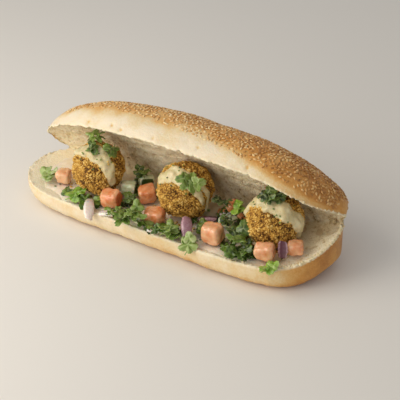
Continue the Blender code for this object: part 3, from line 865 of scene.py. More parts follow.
    def upper_crust(self, x: Array, turn: Array) -> Array:
        """Points of the upper crust before opening, from the back over the crown to the front.

        Args:
            x: stations.
            turn: radians, 0 at the back rim and pi at the front.
        Returns:
            Places in mm.
        """
        front, back = self.upper_sides(x)
        across = bowed(np.cos(turn), 2.0 / self.crown_roundness)
        y = (front + back) / 2.0 + (back - front) / 2.0 * across
        to_peak = x - self.crown_peak
        length = np.where(to_peak > 0, self.upper_tip - self.crown_peak, self.upper_tip + self.crown_peak)
        full = np.where(to_peak > 0, self.crown_fullness[1], self.crown_fullness[0])
        share = np.minimum(1.0, np.abs(to_peak / length))
        crown = self.crown_rise * self.arch(share, self.crown_bluntness, full)
        swell = np.clip(np.sin(turn), 0.0, None) ** (2.0 / self.crown_roundness)
        z = self.cut_height(x, y) + crown * swell
        points = joined(x, y, z)
        points[..., 2] += 2.0 * self.crust_lump * hills(points, self.lump_size) * swell
        return points

    def tip(self, half: Half) -> float:
        """How far a half's tips are from the middle."""
        return self.upper_tip if half is Half.UPPER else self.half_length

    def sides(self, half: Half, x: Array) -> tuple[Array, Array]:
        """The y of a half's front and back rims."""
        return self.upper_sides(x) if half is Half.UPPER else self.lower_sides(x)

    def cut(self, half: Half, x: Array, y: Array) -> Array:
        """The height of a half's crumb before opening."""
        return self.upper_cut(x, y) if half is Half.UPPER else self.lower_cut(x, y)

    def crust(self, half: Half, x: Array, turn: Array) -> Array:
        """Points of a half's crust before opening."""
        return self.upper_crust(x, turn) if half is Half.UPPER else self.lower_crust(x, turn)

    def laid(self, half: Half, points: Array) -> Array:
        """Where a half's points lie in the opened roll."""
        return self.opened(points) if half is Half.UPPER else points


def even(points: Array, count: int) -> Array:
    """Spaces points evenly along each of several lines.

    Args:
        points: lines of places, one line for each first index.
        count: how many points each line gets.
    Returns:
        The lines with even spacing.
    """
    made = np.empty((points.shape[0], count, 3))
    for line, out in zip(points, made):
        along = np.concatenate([[0.0], np.cumsum(np.linalg.norm(np.diff(line, axis=0), axis=1))])
        wanted = np.linspace(0.0, along[-1], count)
        for axis in range(3):
            out[:, axis] = np.interp(wanted, along, line[:, axis])
    return made


@dataclass
class Skin:
    """What is known of each point of the bread's surface.

    upper is 1 on the upper half, crumb is 1 where the cut shows the crumb, and from_rim is the
    distance from the cut's edge.
    """

    points: Array
    upper: Array
    crumb: Array
    from_rim: Array


@dataclass
class Browning:
    """How brown the crust is, from 0 to 1, with painted shade where the lower wall darkens to the right and
    towards its foot. The fades run along X unless a name says otherwise.
    """

    golden_edge: float = 166.0
    edge_waves: tuple[float, float] = (2.5, 14.0)
    right_end: Fade = Fade(20.0, 80.0)
    crown: float = 0.37
    crown_middle: Fade = Fade(-100.0, 0.0, 0.19)
    crown_right: Fade = Fade(20.0, 115.0, 0.12)
    crown_tip: Fade = Fade(92.0, 120.0, 0.55)
    back_turn: Fade = Fade(5.0, 60.0, 0.4)
    band: float = 0.02
    band_right: Fade = Fade(20.0, 110.0, 0.30)
    wall: float = 0.10
    # wall_right, foot and foot_right are partly browning and partly painted shade on the lower wall.
    wall_right: Fade = Fade(-90.0, 90.0, 0.07)
    wall_tip: Fade = Fade(84.0, 118.0, 0.50)
    wall_back: Fade = Fade(10.0, 38.0, 0.42)
    foot: float = 0.08
    foot_right: Fade = Fade(-60.0, 60.0, 0.14)
    foot_depth: Fade = Fade(-10.0, -2.0)
    underside: Fade = Fade(-3.6, -0.6, 0.62)
    rim: float = 0.40
    rim_reach: float = 2.5
    rim_end: Fade = Fade(-100.0, -70.0)

    def over_crown(self, skin: Skin, form: RollForm) -> Array:
        """The browning of the upper half, dark on its crown and pale in a band above its rim.

        Args:
            skin: the bread's surface.
            form: the roll's shape.
        Returns:
            The browning of each point.
        """
        x = skin.points[:, 0]
        shut = form.closed(skin.points)
        front, back = form.upper_sides(shut[:, 0])
        across = np.clip((2 * shut[:, 1] - front - back) / np.maximum(back - front, 1.0), -1.0, 1.0)
        turn = np.degrees(np.arccos(across))
        right = self.right_end.at(x)
        edge = self.golden_edge + waves(skin.points, self.edge_waves) + 11.0 * right
        made = 1.0 - ramp(turn, edge - 20.0 + 9.0 * right, edge + 5.0)
        made *= self.crown + self.crown_middle.at(x) + self.crown_right.at(x)
        made = np.maximum(made, self.band + self.band_right.at(x))
        made = np.maximum(made, self.crown_tip.at(x))
        return made * (1.0 - self.back_turn.most + self.back_turn.at(turn))

    def round_wall(self, skin: Skin) -> Array:
        """The browning of the lower half, deeper at its foot, its back and its right end; the rise to the
        right and the deeper foot are partly painted shade.

        Args:
            skin: the bread's surface.
        Returns:
            The browning of each point.
        """
        x, y, z = skin.points.T
        # Darker to the right and towards the foot: browning together with painted shade.
        made = self.wall + self.wall_right.at(x)
        made += (self.foot + self.foot_right.at(x)) * self.foot_depth.at(-z)
        made += self.wall_tip.at(x + 0.4 * y)
        made = np.maximum(made, self.wall_back.at(y))
        made = np.maximum(made, self.underside.at(-z))
        near_rim = np.exp(-((skin.from_rim / self.rim_reach) ** 2))
        return np.maximum(made, self.rim * near_rim * (1.0 - self.rim_end.at(x)))


@dataclass
class Bread:
    """The roll itself: both halves joined at the back, crust outside and torn crumb inside.

    Waves give the height and width of hills in mm, and point counts are for the crust, then
    for the cut face.
    """

    form: RollForm
    browning: Browning = field(default_factory=Browning)
    stations: int = 330
    lower_points: tuple[int, int] = (44, 52)
    upper_points: tuple[int, int] = (70, 72)
    fine_turns: int = 180
    rim_points: int = 1400
    seam_reach: float = 6.0
    seam_gap: float = 0.003
    pore_size: float = 3.4
    pore_warp: tuple[float, float] = (1.2, 4.0)
    pore_depth: float = 1.0
    fine_pore_size: float = 1.9
    coarse_width: float = 7.0
    crust_waves: tuple[tuple[float, float], ...] = ((0.4, 13.0), (0.2, 5.0), (0.07, 2.6))
    wall_wrinkle: tuple[float, float] = (0.35, 3.6)
    wrinkle_stretch: Triple = (1.0, 0.5, 0.2)
    rim_reach: float = 2.6
    rim_tear: float = 0.9
    rim_waves: tuple[tuple[float, float], ...] = ((1.0, 2.3), (0.7, 5.5))
    rim_spill: float = 0.9
    spill_waves: tuple[tuple[float, float], ...] = ((0.9, 5.0), (0.5, 1.8))
    dimples: tuple[tuple[float, float], ...] = (
        (-71, 174), (-50, 173), (-41, 176), (-14, 175), (22, 172), (63, 174),
    )
    dimple_width: float = 1.1
    dimple_depth: float = 1.2
    dimple_brown: float = 0.5
    # The dent is a hollow in the right pocket, whose crumb is also painted darker as its shade. gap_light is
    # a painted pool of light between the balls: its middle along X, its reach, and how much painted shade it
    # takes away.
    dent_place: tuple[float, float] = (116.0, 18.0)
    dent_reach: float = 7.0
    dent_depth: float = 3.2
    gap_light: Triple = (-18.0, 26.0, 0.75)

    def xs(self, tip: float) -> Array:
        """Stations along a half, closer together towards its tips."""
        turns = (np.arange(self.stations) / (self.stations - 1) - 0.5) * math.pi
        return (0.9997 * tip * np.sin(turns))[:, None]

    def half(self, half: Half) -> Thing:
        """Makes one half, its crust and its cut face closed at both tips.

        Args:
            half: which half.
        Returns:
            The half, which stores which side of the rim each point is.
        """
        crust_count, cut_count = self.upper_points if half is Half.UPPER else self.lower_points
        tip = self.form.tip(half)
        x = self.xs(tip)
        turns = np.linspace(0.0, math.pi, self.fine_turns)[None]
        crust = even(self.form.crust(half, x, turns), crust_count)
        share = np.linspace(0.0, 1.0, cut_count)[None]
        y = crust[:, -1:, 1] + (crust[:, :1, 1] - crust[:, -1:, 1]) * share
        flat_x = np.broadcast_to(x, y.shape)
        cut = joined(flat_x, y, self.form.cut(half, flat_x, y))
        ring = np.concatenate([crust, cut[:, 1:-1], crust[:, :1]], axis=1)
        table = capped(self.form.laid(half, ring))
        table[0, :, 0], table[-1, :, 0] = -tip, tip
        side = np.full(table.shape[:2], -1.0)
        side[:, crust_count:-1] = 1.0
        return surface("bread_" + half.name.lower(), table, {"side": side})

    def rims(self) -> KDTree:
        """A search along the cut's free edges.

        Returns:
            The tree that finds the nearest point on them.
        """
        lines = []
        for half in Half:
            x = np.linspace(-self.form.half_length, self.form.half_length, self.rim_points)
            x = x[np.abs(x) <= self.form.tip(half)]
            front, back = self.form.sides(half, x)
            free = back < self.form.hinge_y
            for along, y in ((x, front), (x[free], back[free])):
                lines.append(self.form.laid(half, joined(along, y, self.form.cut_height(along, y))))
        return finder(np.concatenate(lines))

    def dimple_spots(self) -> Array:
        """Where the crust's few dimples are, in mm."""
        x, turn = np.array(self.dimples).T
        return self.form.opened(self.form.upper_crust(x[:, None], np.radians(turn)[:, None]))[:, 0]

    def build(self) -> Thing:
        """Joins the halves, softens the fold between them, and tears the crumb.

        Returns:
            The bread, which stores crumb, bake, pore and roof for its finish: bake holds painted shade on the
            lower wall as well as browning, and pore and roof are painted shade.
        """
        halves = [self.half(half) for half in Half]
        old = finder(np.concatenate([places(half) for half in halves]))
        side = np.concatenate([painted(half, "side") for half in halves])
        upper = np.repeat([0.0, 1.0], [len(half.data.vertices) for half in halves])
        for half in halves:
            half.data.attributes.remove(half.data.attributes["side"])
        bread = apply(halves[0], "BOOLEAN", operation="UNION", object=halves[1], solver="MANIFOLD")
        bpy.data.objects.remove(halves[1])
        bread.name = bread.data.name = "bread"
        points = places(bread)
        nearest, away = np.array([old.find(point)[1:] for point in points]).T
        side, upper = side[nearest.astype(int)], upper[nearest.astype(int)]
        self.soften(bread, points, points[away > self.seam_gap])
        points = places(bread)
        rims = self.rims()
        from_rim = np.array([rims.find(point)[2] for point in points])
        spill = self.rim_spill * (1.0 + waves(points, *self.spill_waves))
        skin = Skin(points, upper, ramp(side * from_rim + spill, -0.5, 0.5), from_rim)
        marks = sum(self.near_dimples(points))
        crown, wall = self.browning.over_crown(skin, self.form), self.browning.round_wall(skin)
        # The crust's browning, with painted shade on the lower wall.
        paint(bread, "bake", np.where(upper > 0.5, crown, wall) + self.dimple_brown * marks)
        self.tear(bread, skin)
        return smooth(bread)

    def near_dimples(self, points: Array) -> list[Array]:
        """How near each point is to each dimple, from 0 to 1."""
        return [np.exp(-(((points - spot) / self.dimple_width) ** 2).sum(1)) for spot in self.dimple_spots()]

    def soften(self, bread: Thing, points: Array, fresh: Array) -> None:
        """Smooths the fold where the halves run into each other.

        Args:
            bread: the joined halves.
            points: its places in mm.
            fresh: the places along the join.
        """
        seam = finder(fresh)
        away = np.array([seam.find(point)[2] for point in points])
        group = bread.vertex_groups.new(name="fold")
        weight = 1.0 - ramp(away, 0.5, self.seam_reach)
        for i in np.flatnonzero(weight > 0.01):
            group.add([int(i)], float(weight[i]), "REPLACE")
        apply(bread, "SMOOTH", factor=0.7, iterations=24, vertex_group="fold")
        bread.vertex_groups.remove(bread.vertex_groups["fold"])

    def tear(self, bread: Thing, skin: Skin) -> None:
        """Opens pores in the crumb, frays its rim, makes the crust a little uneven, and paints shade into the
        pores, the mouth and the right pocket.

        Args:
            bread: the joined halves.
            skin: their surface.
        """
        points, upper, crumb = skin.points, skin.upper, skin.crumb
        x, y, _ = points.T
        roof, crust, below = upper * crumb, 1.0 - crumb, 1.0 - upper
        near, _, tone = grains(points + waves(points, self.pore_warp)[:, None], self.pore_size)
        small, _, fine = grains(points + 40.0, self.fine_pore_size)
        pore = (1.0 - ramp(near, 0.12, 0.55)) * ramp(tone, -0.1, 0.3)
        pore = np.maximum(pore, 0.6 * (1.0 - ramp(small, 0.1, 0.5)) * ramp(fine, 0.0, 0.3))
        coarse = hills(points, self.coarse_width)
        from_dent = ((x - self.dent_place[0]) ** 2 + (y - self.dent_place[1]) ** 2) / self.dent_reach**2
        dent = below * crumb * np.exp(-from_dent)

        depth = crumb * (self.pore_depth * (0.25 + 1.15 * roof) * pore + (0.3 + 0.9 * roof) * coarse)
        depth += crumb * (0.12 + 0.25 * roof) * hills(points, 2.2)
        depth += crust * waves(points, *self.crust_waves)
        depth += crust * below * waves(points * self.wrinkle_stretch, self.wall_wrinkle)
        depth += self.dent_depth * dent
        depth += self.dimple_depth * sum(self.near_dimples(points))
        torn = (1.0 - ramp(skin.from_rim, 0.0, self.rim_reach)) * self.rim_tear
        torn *= 1.0 - 0.62 * upper + 0.7 * below * ramp(x, 60.0, 105.0)
        ragged = joined(*(waves(points + shift, *self.rim_waves) for shift in (0.0, 31.0, 67.0)))
        moved = points - normals(bread) * depth[:, None] + ragged * torn[:, None]
        moved[:, 2] = np.maximum(moved[:, 2], 0.0)
        set_places(bread, moved)

        paint(bread, "crumb", crumb)
        # Pore: painted shade in the pores, with random tone from the coarse hills; less of it on the lower
        # crumb's left.
        airy = 0.22 + 0.78 * np.maximum(upper, ramp(x, 50.0, 100.0))
        paint(bread, "pore", np.clip(0.12 + 0.62 * pore + 0.3 * coarse, 0.0, 1.0) * crumb * airy)
        # Roof: painted shade in the right pocket and its dent, and deeper into the mouth under the upper
        # half, with less of it in a painted pool of light between the balls.
        pocket = 0.55 * ramp(x + 0.5 * y, 92.0, 118.0) * ramp(skin.from_rim, 1.5, 5.0)
        middle, reach, most = self.gap_light
        lit = 1.0 - most * np.exp(-(((x - middle) / reach) ** 2))
        behind = self.form.closed(points)[:, 1] - self.form.upper_sides(x)[0]
        dim = ramp(behind, 1.0, 12.0) * ramp(x + 6.0 * hills(points, 9.0), -104.0, -84.0)
        paint(bread, "roof", below * crumb * (pocket + 0.6 * dent) + roof * lit * dim)


@dataclass
class RimCrumbs:
    """Bits of crumb that stand on the torn rims, most of them round the right end."""

    form: RollForm
    count: int = 330
    sizes: Triple = (0.9, 1.5, 2.3)
    sunk: float = 0.25
    on_lower: float = 0.75
    at_rear: float = 0.3
    along_all: tuple[float, float] = (-0.2, 1.0)
    along_right: tuple[float, float] = (0.55, 1.0)
    inset: tuple[float, float] = (0.6, 4.4)

    def build(self) -> Thing:
        """Scatters the bits along the rims.

        Returns:
            The bits as one mesh, which stores what the bread's finish reads.
        """
        draw = random.Random(31)
        form, spots = self.form, []
        while len(spots) < self.count:
            half = Half.LOWER if draw.random() < self.on_lower else Half.UPPER
            along = draw.uniform(*(self.along_all if draw.random() < 0.45 else self.along_right))
            x = np.array([0.998 * form.tip(half) * math.sin(along * math.pi / 2.0)])
            front, back = form.sides(half, x)
            rear = draw.random() < self.at_rear
            if rear and back[0] > form.hinge_y:
                continue
            inset = draw.uniform(*self.inset)
            y = back - inset if rear else front + inset
            here = form.laid(half, joined(x, y, form.cut(half, x, y)))[0]
            here[2] += self.sunk if half is Half.UPPER else -self.sunk
            place = Matrix.Translation(here)
            for axis in "ZXY":
                place = place @ Matrix.Rotation(draw.uniform(0.0, math.tau), 4, axis)
            size = draw.randrange(3 if along > 0.4 else 2)
            spots.append((size, place, draw.uniform(0.15, 0.6)))
        kinds = [crumb_bit(size) for size in self.sizes]
        made = scattered("rim_crumbs", kinds, spots, crumb=1.0, bake=0.0, roof=0.0)
        paint(made, "pore", painted(made, "tint"))
        return made


def scattered(
    name: str, kinds: list[Thing], spots: list[tuple[int, Matrix, float]], **marks: float
) -> Thing:
    """One mesh with a copy of a small model at each spot.

    Args:
        name: the object's name.
        kinds: the small models, which are removed afterwards.
        spots: which model, where it goes in mm, and its tint.
        marks: numbers to store, the same all over, by name.
    Returns:
        The new object, which stores each copy's tint.
    """
    models = [(places(kind), [list(face.vertices) for face in kind.data.polygons]) for kind in kinds]
    points, faces, tints = [], [], []
    start = 0
    for which, matrix, tint in spots:
        shape, polygons = models[which]
        points.append(shape @ np.array(matrix.to_3x3()).T + np.array(matrix.translation))
        faces += [[start + i for i in polygon] for polygon in polygons]
        tints.append(np.full(len(shape), tint))
        start += len(shape)
    mesh = bpy.data.meshes.new(name)
    mesh.from_pydata((np.concatenate(points) * MM).tolist(), [], faces)
    for kind in kinds:
        bpy.data.objects.remove(kind)
    made = bpy.data.objects.new(name, mesh)
    bpy.context.scene.collection.objects.link(made)
    paint(made, "tint", np.concatenate(tints))
    for mark, value in marks.items():
        paint(made, mark, np.full(start, value))
    return smooth(made, 60.0)


@dataclass
class Sesame:
    """Seeds baked onto the crown."""

    form: RollForm
    seeds: int = 2200
    most_tries: int = 90000
    length: float = 2.8
    width: float = 1.7
    height: float = 0.9
    lift: float = 0.28
    spacing: float = 1.9
    first_x: float = -104.0
    last_x: float = 121.0
    back_angle: float = 40.0
    back_wander: tuple[float, float] = (7.0, 24.0)
    front_angle: float = 152.0
    front_rise: Fade = Fade(-60.0, 85.0, 15.0)
    browner: Fade = Fade(-20.0, 100.0, 0.30)
    clump: float = 17.0
    heart: tuple[float, float] = (5.0, 25.0)

    def seed(self) -> Thing:
        """One seed: a ball drawn out to a blunt end and a pointed end, and flattened.

        Returns:
            The seed.
        """
        ball = bpy.ops.mesh.primitive_uv_sphere_add
        made, points = primitive(ball, "seed", segments=8, ring_count=6, radius=1.0)
        points = points[:, [2, 0, 1]]
        points[:, 1:] *= 1.0 - 0.42 * ramp(points[:, :1], -0.2, 1.0)
        set_places(made, points * (self.length / 2, self.width / 2, self.height / 2))
        return mend(made)

    def stance(self, x: float, angle: float) -> tuple[Array, Matrix]:
        """A place on the crown.

        Args:
            x: where it is along the roll.
            angle: how far round the crown it is, in degrees from the back rim.
        Returns:
            The place in mm, and the turn whose Z points out of the crust.
        """
        at = np.array([[x], [x + 1.0], [x]])
        turns = np.radians([[angle], [angle], [angle + 1.5]])
        here, along, across = self.form.opened(self.form.upper_crust(at, turns))[:, 0]
        forward = Vector(along - here).normalized()
        out = forward.cross(Vector(across - here)).normalized()
        if out.z < 0 and out.y < 0:
            out.negate()
        if out.dot(Vector(here) - Vector((here[0], *self.heart))) < 0:
            out.negate()
        return here, Matrix((forward, out.cross(forward), out)).transposed()

    def cell(self, here: Array) -> tuple[int, ...]:
        """The cell of a grid of spacings that a place is in."""
        return tuple(int(v // self.spacing) for v in here)

    def crowded(self, here: Array, taken: dict[tuple[int, ...], Array]) -> bool:
        """Whether another seed is too near.

        Args:
            here: a place in mm.
            taken: the seeds laid so far, by cell.
        Returns:
            True where one is nearer than the spacing.
        """
        a, b, c = self.cell(here)
        near = (taken.get((a + i, b + j, c + k)) for i, j, k in product((-1, 0, 1), repeat=3))
        return any(n is not None and np.linalg.norm(n - here) < self.spacing for n in near)

    def build(self) -> Thing:
        """Scatters the seeds, thinner towards the front and back of the crown.

        Returns:
            The seeds as one mesh.
        """
        draw = random.Random(11)
        spots, taken = [], {}
        for _ in range(self.most_tries):
            x, share = draw.uniform(self.first_x, self.last_x), draw.random()
            wander, width = self.back_wander
            back = self.back_angle + wander * noise.noise(Vector((x / width, 3.0, 0.0)))
            front = self.front_angle + float(self.front_rise.at(x))
            here, turn = self.stance(x, back + share * (front - back))
            if self.crowded(here, taken):
                continue
            clump = noise.noise(Vector(here) / self.clump)
            sparse = max(0.6 * (share - 0.82) / 0.18, 0.85 * (0.16 - share) / 0.16)
            if draw.random() > 0.8 + 0.9 * clump or draw.random() < sparse:
                continue
            taken[self.cell(here)] = here
            place = Matrix.Translation(Vector(here) + turn.col[2] * (self.lift * self.height))
            place = place @ turn.to_4x4() @ Matrix.Rotation(draw.uniform(0, math.tau), 4, "Z")
            place = place @ Matrix.Rotation(math.radians(draw.uniform(-14, 14)), 4, "Y")
            place = place @ Matrix.Scale(draw.uniform(0.85, 1.12), 4)
            spots.append((0, place, draw.uniform(0.15, 0.8) + float(self.browner.at(x))))
            if len(spots) == self.seeds:
                break
        return scattered("sesame_seeds", [self.seed()], spots)


@dataclass
class Spread:
    """Sauce spread over the lower crumb."""

    form: RollForm
    top: float = 1.7
    inset: float = 5.0
    end: float = 14.0
    stations: int = 240
    rows: int = 56

    def build(self) -> Thing:
        """A thin layer with a rounded wavy edge that follows the hollowed crumb.

        Returns:
            The sauce.
        """
        reach = self.form.half_length - self.end
        x = np.linspace(-reach, reach, self.stations)[:, None]
        front, back = self.form.lower_sides(x)
        wander = 1.6 * np.sin(0.11 * x) + 1.1 * np.sin(0.29 * x + 1.0)
        line = np.concatenate([x, x * 0, x * 0], axis=1)
        wander = wander + 1.5 * hills(line, 6.0)[:, None] + 0.7 * hills(line + 9.0, 2.5)[:, None]
        wander = wander + 2.4 * hills(line + 50.0, 14.0)[:, None]
        front = front + self.inset + wander
        back = np.minimum(back - self.inset, self.form.hinge_y - self.inset)
        ends = np.sqrt(np.clip(1.0 - (np.abs(x) / (reach + 0.01)) ** 14, 0.0, 1.0))
        middle, width = (front + back) / 2, (back - front) / 2 * (0.55 + 0.45 * ends)
        share = -np.cos(np.linspace(0.0, math.pi, self.rows))[None]
        y = middle + width * share
        flat_x = np.broadcast_to(x, y.shape)
        floor = self.form.lower_cut(flat_x, y)
        lip = np.clip(1.0 - np.abs(share) ** 7, 0.0, 1.0) ** 0.8 * np.maximum(ends, 0.05)
        spots = joined(flat_x, y, floor)
        swirl = 0.35 * hills(spots, 9.0) + 0.2 * hills(spots * (0.5, 1.0, 1.0), 3.5)
        high = spots.copy()
        fade = 1.0 - 0.9 * ramp(spots[..., 0] + 7.0 * hills(spots, 9.0), 84.0, 104.0)
        high[..., 2] += -0.5 + (self.top + 0.5 + swirl) * lip * fade
        low = spots.copy()
        low[..., 2] -= 0.9
        ring = np.concatenate([low, high[:, ::-1], low[:, :1]], axis=1)
        table = capped(ring)
        soak = ramp(table[..., 0] + 5.0 * hills(table, 8.0), 78.0, 100.0)
        return smooth(surface("sauce_spread", table, {"soak": 0.9 * soak}))


@dataclass
class Ball:
    """One falafel ball and the tahini that was poured over it."""

    name: str
    centre: Triple
    radius: float
    ribbons: list[list[Triple]]
    form: RollForm
    lump: float = 0.045
    crag: float = 0.035
    thickness: float = 2.2
    floor_gap: float = 2.1
    grain: float = 1.95
    grain_height: float = 1.25
    fine_grain: float = 1.1
    line_steps: int = 14
    widen: float = 1.15
    bulge: float = 1.7
    bulge_width: float = 9.5
    roof_gap: float = 0.6

    def outline(self, out: Array) -> Array:
        """The solid's radius in each direction."""
        lumps = self.lump * hills(out + np.array((self.radius, 0.0, 0.0)) / 1.6, 1 / 1.6)
        crags = self.crag * hills(out + np.array((0.0, self.radius, 0.0)) / 6.5, 1 / 6.5)
        return self.radius * (1.0 + lumps + crags)

    def swell(self, spots: Array) -> Array:
        """How far the hand-rolled ball bulges past its solid, in mm."""
        return self.bulge * hills(spots + 3.0, self.bulge_width)

    def fit(self, points: Array) -> Array:
        """Presses points off the lower crumb and out of the upper crumb.

        Args:
            points: places in mm.
        Returns:
            The places that the mouth leaves free.
        """
        made = points.copy()
        made[:, 2] = np.maximum(made[:, 2], self.form.lower_cut(made[:, 0], made[:, 1]) + self.floor_gap)
        shut = self.form.closed(made)
        roof = self.form.upper_cut(shut[:, 0], shut[:, 1]) - self.roof_gap
        shut[:, 2] = np.minimum(shut[:, 2], roof)
        return np.where((self.form.closed(made)[:, 2] > roof)[:, None], self.form.opened(shut), made)

    def globe(self, name: str, levels: int) -> tuple[Thing, Array]:
        """A fine round mesh to shape.

        Args:
            name: the object's name.
            levels: how often its faces are split.
        Returns:
            The object and the direction of each of its points.
        """
        ball = bpy.ops.mesh.primitive_ico_sphere_add
        made, out = primitive(ball, name, subdivisions=levels, radius=1.0)
        return made, out / np.linalg.norm(out, axis=1)[:, None]

    def crust(self) -> Thing:
        """The crumbly fried crust, which stores how far each crag stands out; the finish paints the crags
        light and the gaps dark, as painted light and shade.

        Returns:
            The crust.
        """
        made, out = self.globe("falafel_crust_" + self.name, 7)
        spots = out * self.radius + np.array(self.centre)
        warp = joined(*(hills(spots + shift, 2.6) for shift in (0.0, 23.0, 51.0)))
        near, after, tone = grains(spots + 1.5 * warp, self.grain)
        small, _, _ = grains(spots + 17.0, self.fine_grain)
        lumps = hills(spots, 4.6)
        bump = ramp(after - near, -0.03, 0.3)
        height = self.grain_height * (bump * (0.75 + 0.35 * tone) - 0.6) + 0.5 * (0.45 - small) + 1.2 * lumps
        height += 0.28 * hills(spots + 5.0, 1.0) + self.swell(spots)
        points = np.array(self.centre) + out * (self.outline(out) + height)[:, None]
        set_places(made, self.fit(points))
        # Crag: ridges between grains and high lumps are lighter and the gaps darker, painted light and shade,
        # with random tone per grain.
        paint(made, "crag", 0.06 + (0.5 + 0.18 * tone) * bump + 0.3 * lumps + 0.3 * (0.5 - small))
        return smooth(made)

    def from_line(self, out: Array) -> Array:
        """How far each direction is from the sauce's middle line, as a share of its half width.

        Args:
            out: directions from the ball's centre.
        Returns:
            0 on the line, 1 at the sauce's edge.
        """
        best = np.full(len(out), 9.0)
        for waypoints in self.ribbons:
            spots = [direction(azimuth, elevation) for azimuth, elevation, _ in waypoints]
            widths = [width for _, _, width in waypoints]
            for i, (start, end) in enumerate(zip(spots, spots[1:])):
                before, after = spots[max(0, i - 1)], spots[min(len(spots) - 1, i + 2)]
                for t in np.linspace(0.0, 1.0, self.line_steps):
                    point = start * (2 * t**3 - 3 * t**2 + 1) + end * (3 * t**2 - 2 * t**3)
                    point = point + (end - before) / 2 * (t**3 - 2 * t**2 + t)
                    point = point + (after - start) / 2 * (t**3 - t**2)
                    width = math.radians(self.widen * (widths[i] + (widths[i + 1] - widths[i]) * t))
                    away = np.arccos(np.clip(out @ (point / np.linalg.norm(point)), -1.0, 1.0))
                    best = np.minimum(best, away / width)
        return best

    def tahini(self) -> Thing:
        """The sauce on the ball: a closed skin, thick where it ran and sunk into the crust elsewhere.

        Returns:
            The sauce.
        """
        made, out = self.globe("tahini_" + self.name, 6)
        spots = out * self.radius + np.array(self.centre)
        away = 1.08 * self.from_line(out) + waves(spots, (0.34, 6.5), (0.2, 2.6))
        on = np.clip(1.0 - away**2, 0.0, None) ** 0.55
        height = (self.thickness * (0.68 + 0.5 * hills(spots, 8.0)) + 0.6 * hills(spots, 3.4)) * on
        height += self.swell(spots) - 3.2 * ramp(away, 0.98, 1.3)
        points = np.array(self.centre) + out * (self.outline(out) + height + 0.1)[:, None]
        set_places(made, self.fit(points))
        return smooth(made)


# Cut vegetables and herbs

@dataclass
class Pose:
    """How a small piece is turned before it is laid where its solid lies."""

    turn: float = 0.0
    tip: float = 0.0
    roll: float = 0.0

    def apply(self, points: Array) -> Array:
        """The points, turned."""
        return turned(points, self.turn, self.tip, self.roll)


@dataclass
class Dice:
    """A knife-cut cube of tomato or cucumber, its edges softened and its faces a little uneven."""

    node: str
    size: Triple
    seed: int
    pose: Pose
    skin_side: int = 0
    paleness: float = 0.3
    cuts: int = 15
    roundness: float = 4.2
    relief: float = 0.8
    skew: float = 0.19

    def build(self) -> Thing:
        """Makes the piece.

        Returns:
            The piece, which stores its skin and how pale it is.
        """
        cube = bpy.ops.mesh.primitive_cube_add
        made, _ = primitive(cube, self.node.replace("dice", "piece"), size=1.0)
        bpy.ops.object.mode_set(mode="EDIT")
        bpy.ops.mesh.subdivide(number_cuts=self.cuts)
        bpy.ops.object.mode_set(mode="OBJECT")
        unit = places(made) * MM
        blunt = (np.abs(2.0 * unit) ** self.roundness).sum(1) ** (1.0 / self.roundness)
        unit = unit / np.maximum(blunt, 1e-6)[:, None] * np.abs(2.0 * unit).max(1)[:, None]
        moved = unit.copy()
        for corner in range(8):
            side = np.array([corner >> 2, corner >> 1 & 1, corner & 1])
            weight = np.prod(np.where(side > 0, 0.5 + unit, 0.5 - unit), axis=1)
            shift = [noise.noise(Vector((corner, self.seed, axis * 3.7))) for axis in range(3)]
            moved += weight[:, None] * np.array(shift) * self.skew
        points = moved * self.size
        away = unit / np.linalg.norm(unit, axis=1)[:, None]
        rough = waves(points + self.seed * 9.0, (0.9, 4.5), (0.5, 1.8))
        points = points + away * (self.relief * rough)[:, None]
        axis, sign = self.skin_side // 2, 1 if self.skin_side % 2 else -1
        paint(made, "skin", ramp(unit[:, axis] * sign, 0.40, 0.455))
        # Paler along the cube's edges: a painted highlight where the wet edges catch the light.
        edge = ramp(np.sort(np.abs(unit), axis=1)[:, 1], 0.33, 0.46)
        paint(made, "pale", self.paleness + 0.35 * hills(points, 5.0) + 0.3 * edge)
        set_places(made, settle(self.pose.apply(points), self.node))
        return smooth(made)


@dataclass
class OnionStrip:
    """A slice of red onion, bent like the layer it was cut from, purple on its outer skin."""

    node: str
    pose: Pose
    radius: float
    width: float
    thickness: float
    arc: float
    purple: float = 0.5
    along: int = 64
    around: int = 30

    def build(self) -> Thing:
        """Makes the slice.

        Returns:
            The slice, which stores its purple skin and how pale it is.
        """
        share = np.linspace(-1.0, 1.0, self.along)[:, None]
        lean = np.linspace(0.0, math.tau, self.around + 1)[None]
        across = bowed(np.cos(lean), 0.32)
        turn = np.radians(self.arc / 2.0) * share * (1.0 + 0.09 * across * np.sign(share))
        up = bowed(np.sin(lean), 0.4)
        taper = (1.0 - 0.25 * share**2) * np.sqrt(np.clip(1.0 - np.abs(share) ** 40, 0.5, 1.0))
        line = np.concatenate([share * 9.0, share * 0, share * 0 + self.radius], axis=1)
        edge = 1.0 + 0.20 * hills(line, 3.5)[:, None] + 0.08 * hills(line, 1.2)[:, None]
        r = self.radius - 0.12 * self.width * across**2 + up * self.thickness / 2.0
        y = across * self.width / 2.0 * taper * edge
        ripple = 0.25 * hills(joined(share * 9.0, y, self.radius), 3.0)
        r = r + ripple + 0.10 * np.cos(across * 11.0) * up
        table = capped(joined(r * np.sin(turn), y, r * np.cos(turn) - self.radius))
        stain = (ramp(across, -0.75, -0.35) * (0.84 + 0.16 * np.cos(across * 11.0)) - 0.2) * self.purple
        pale = 0.6 + 0.25 * np.cos(across * 9.0)
        stain, pale = (np.broadcast_to(mark, table.shape[:2]) for mark in (stain, pale))
        made = surface(self.node.replace("strip", "slice"), table, {"skin": stain, "pale": pale})
        set_places(made, settle(self.pose.apply(places(made)), self.node))
        return smooth(made, 42.0)


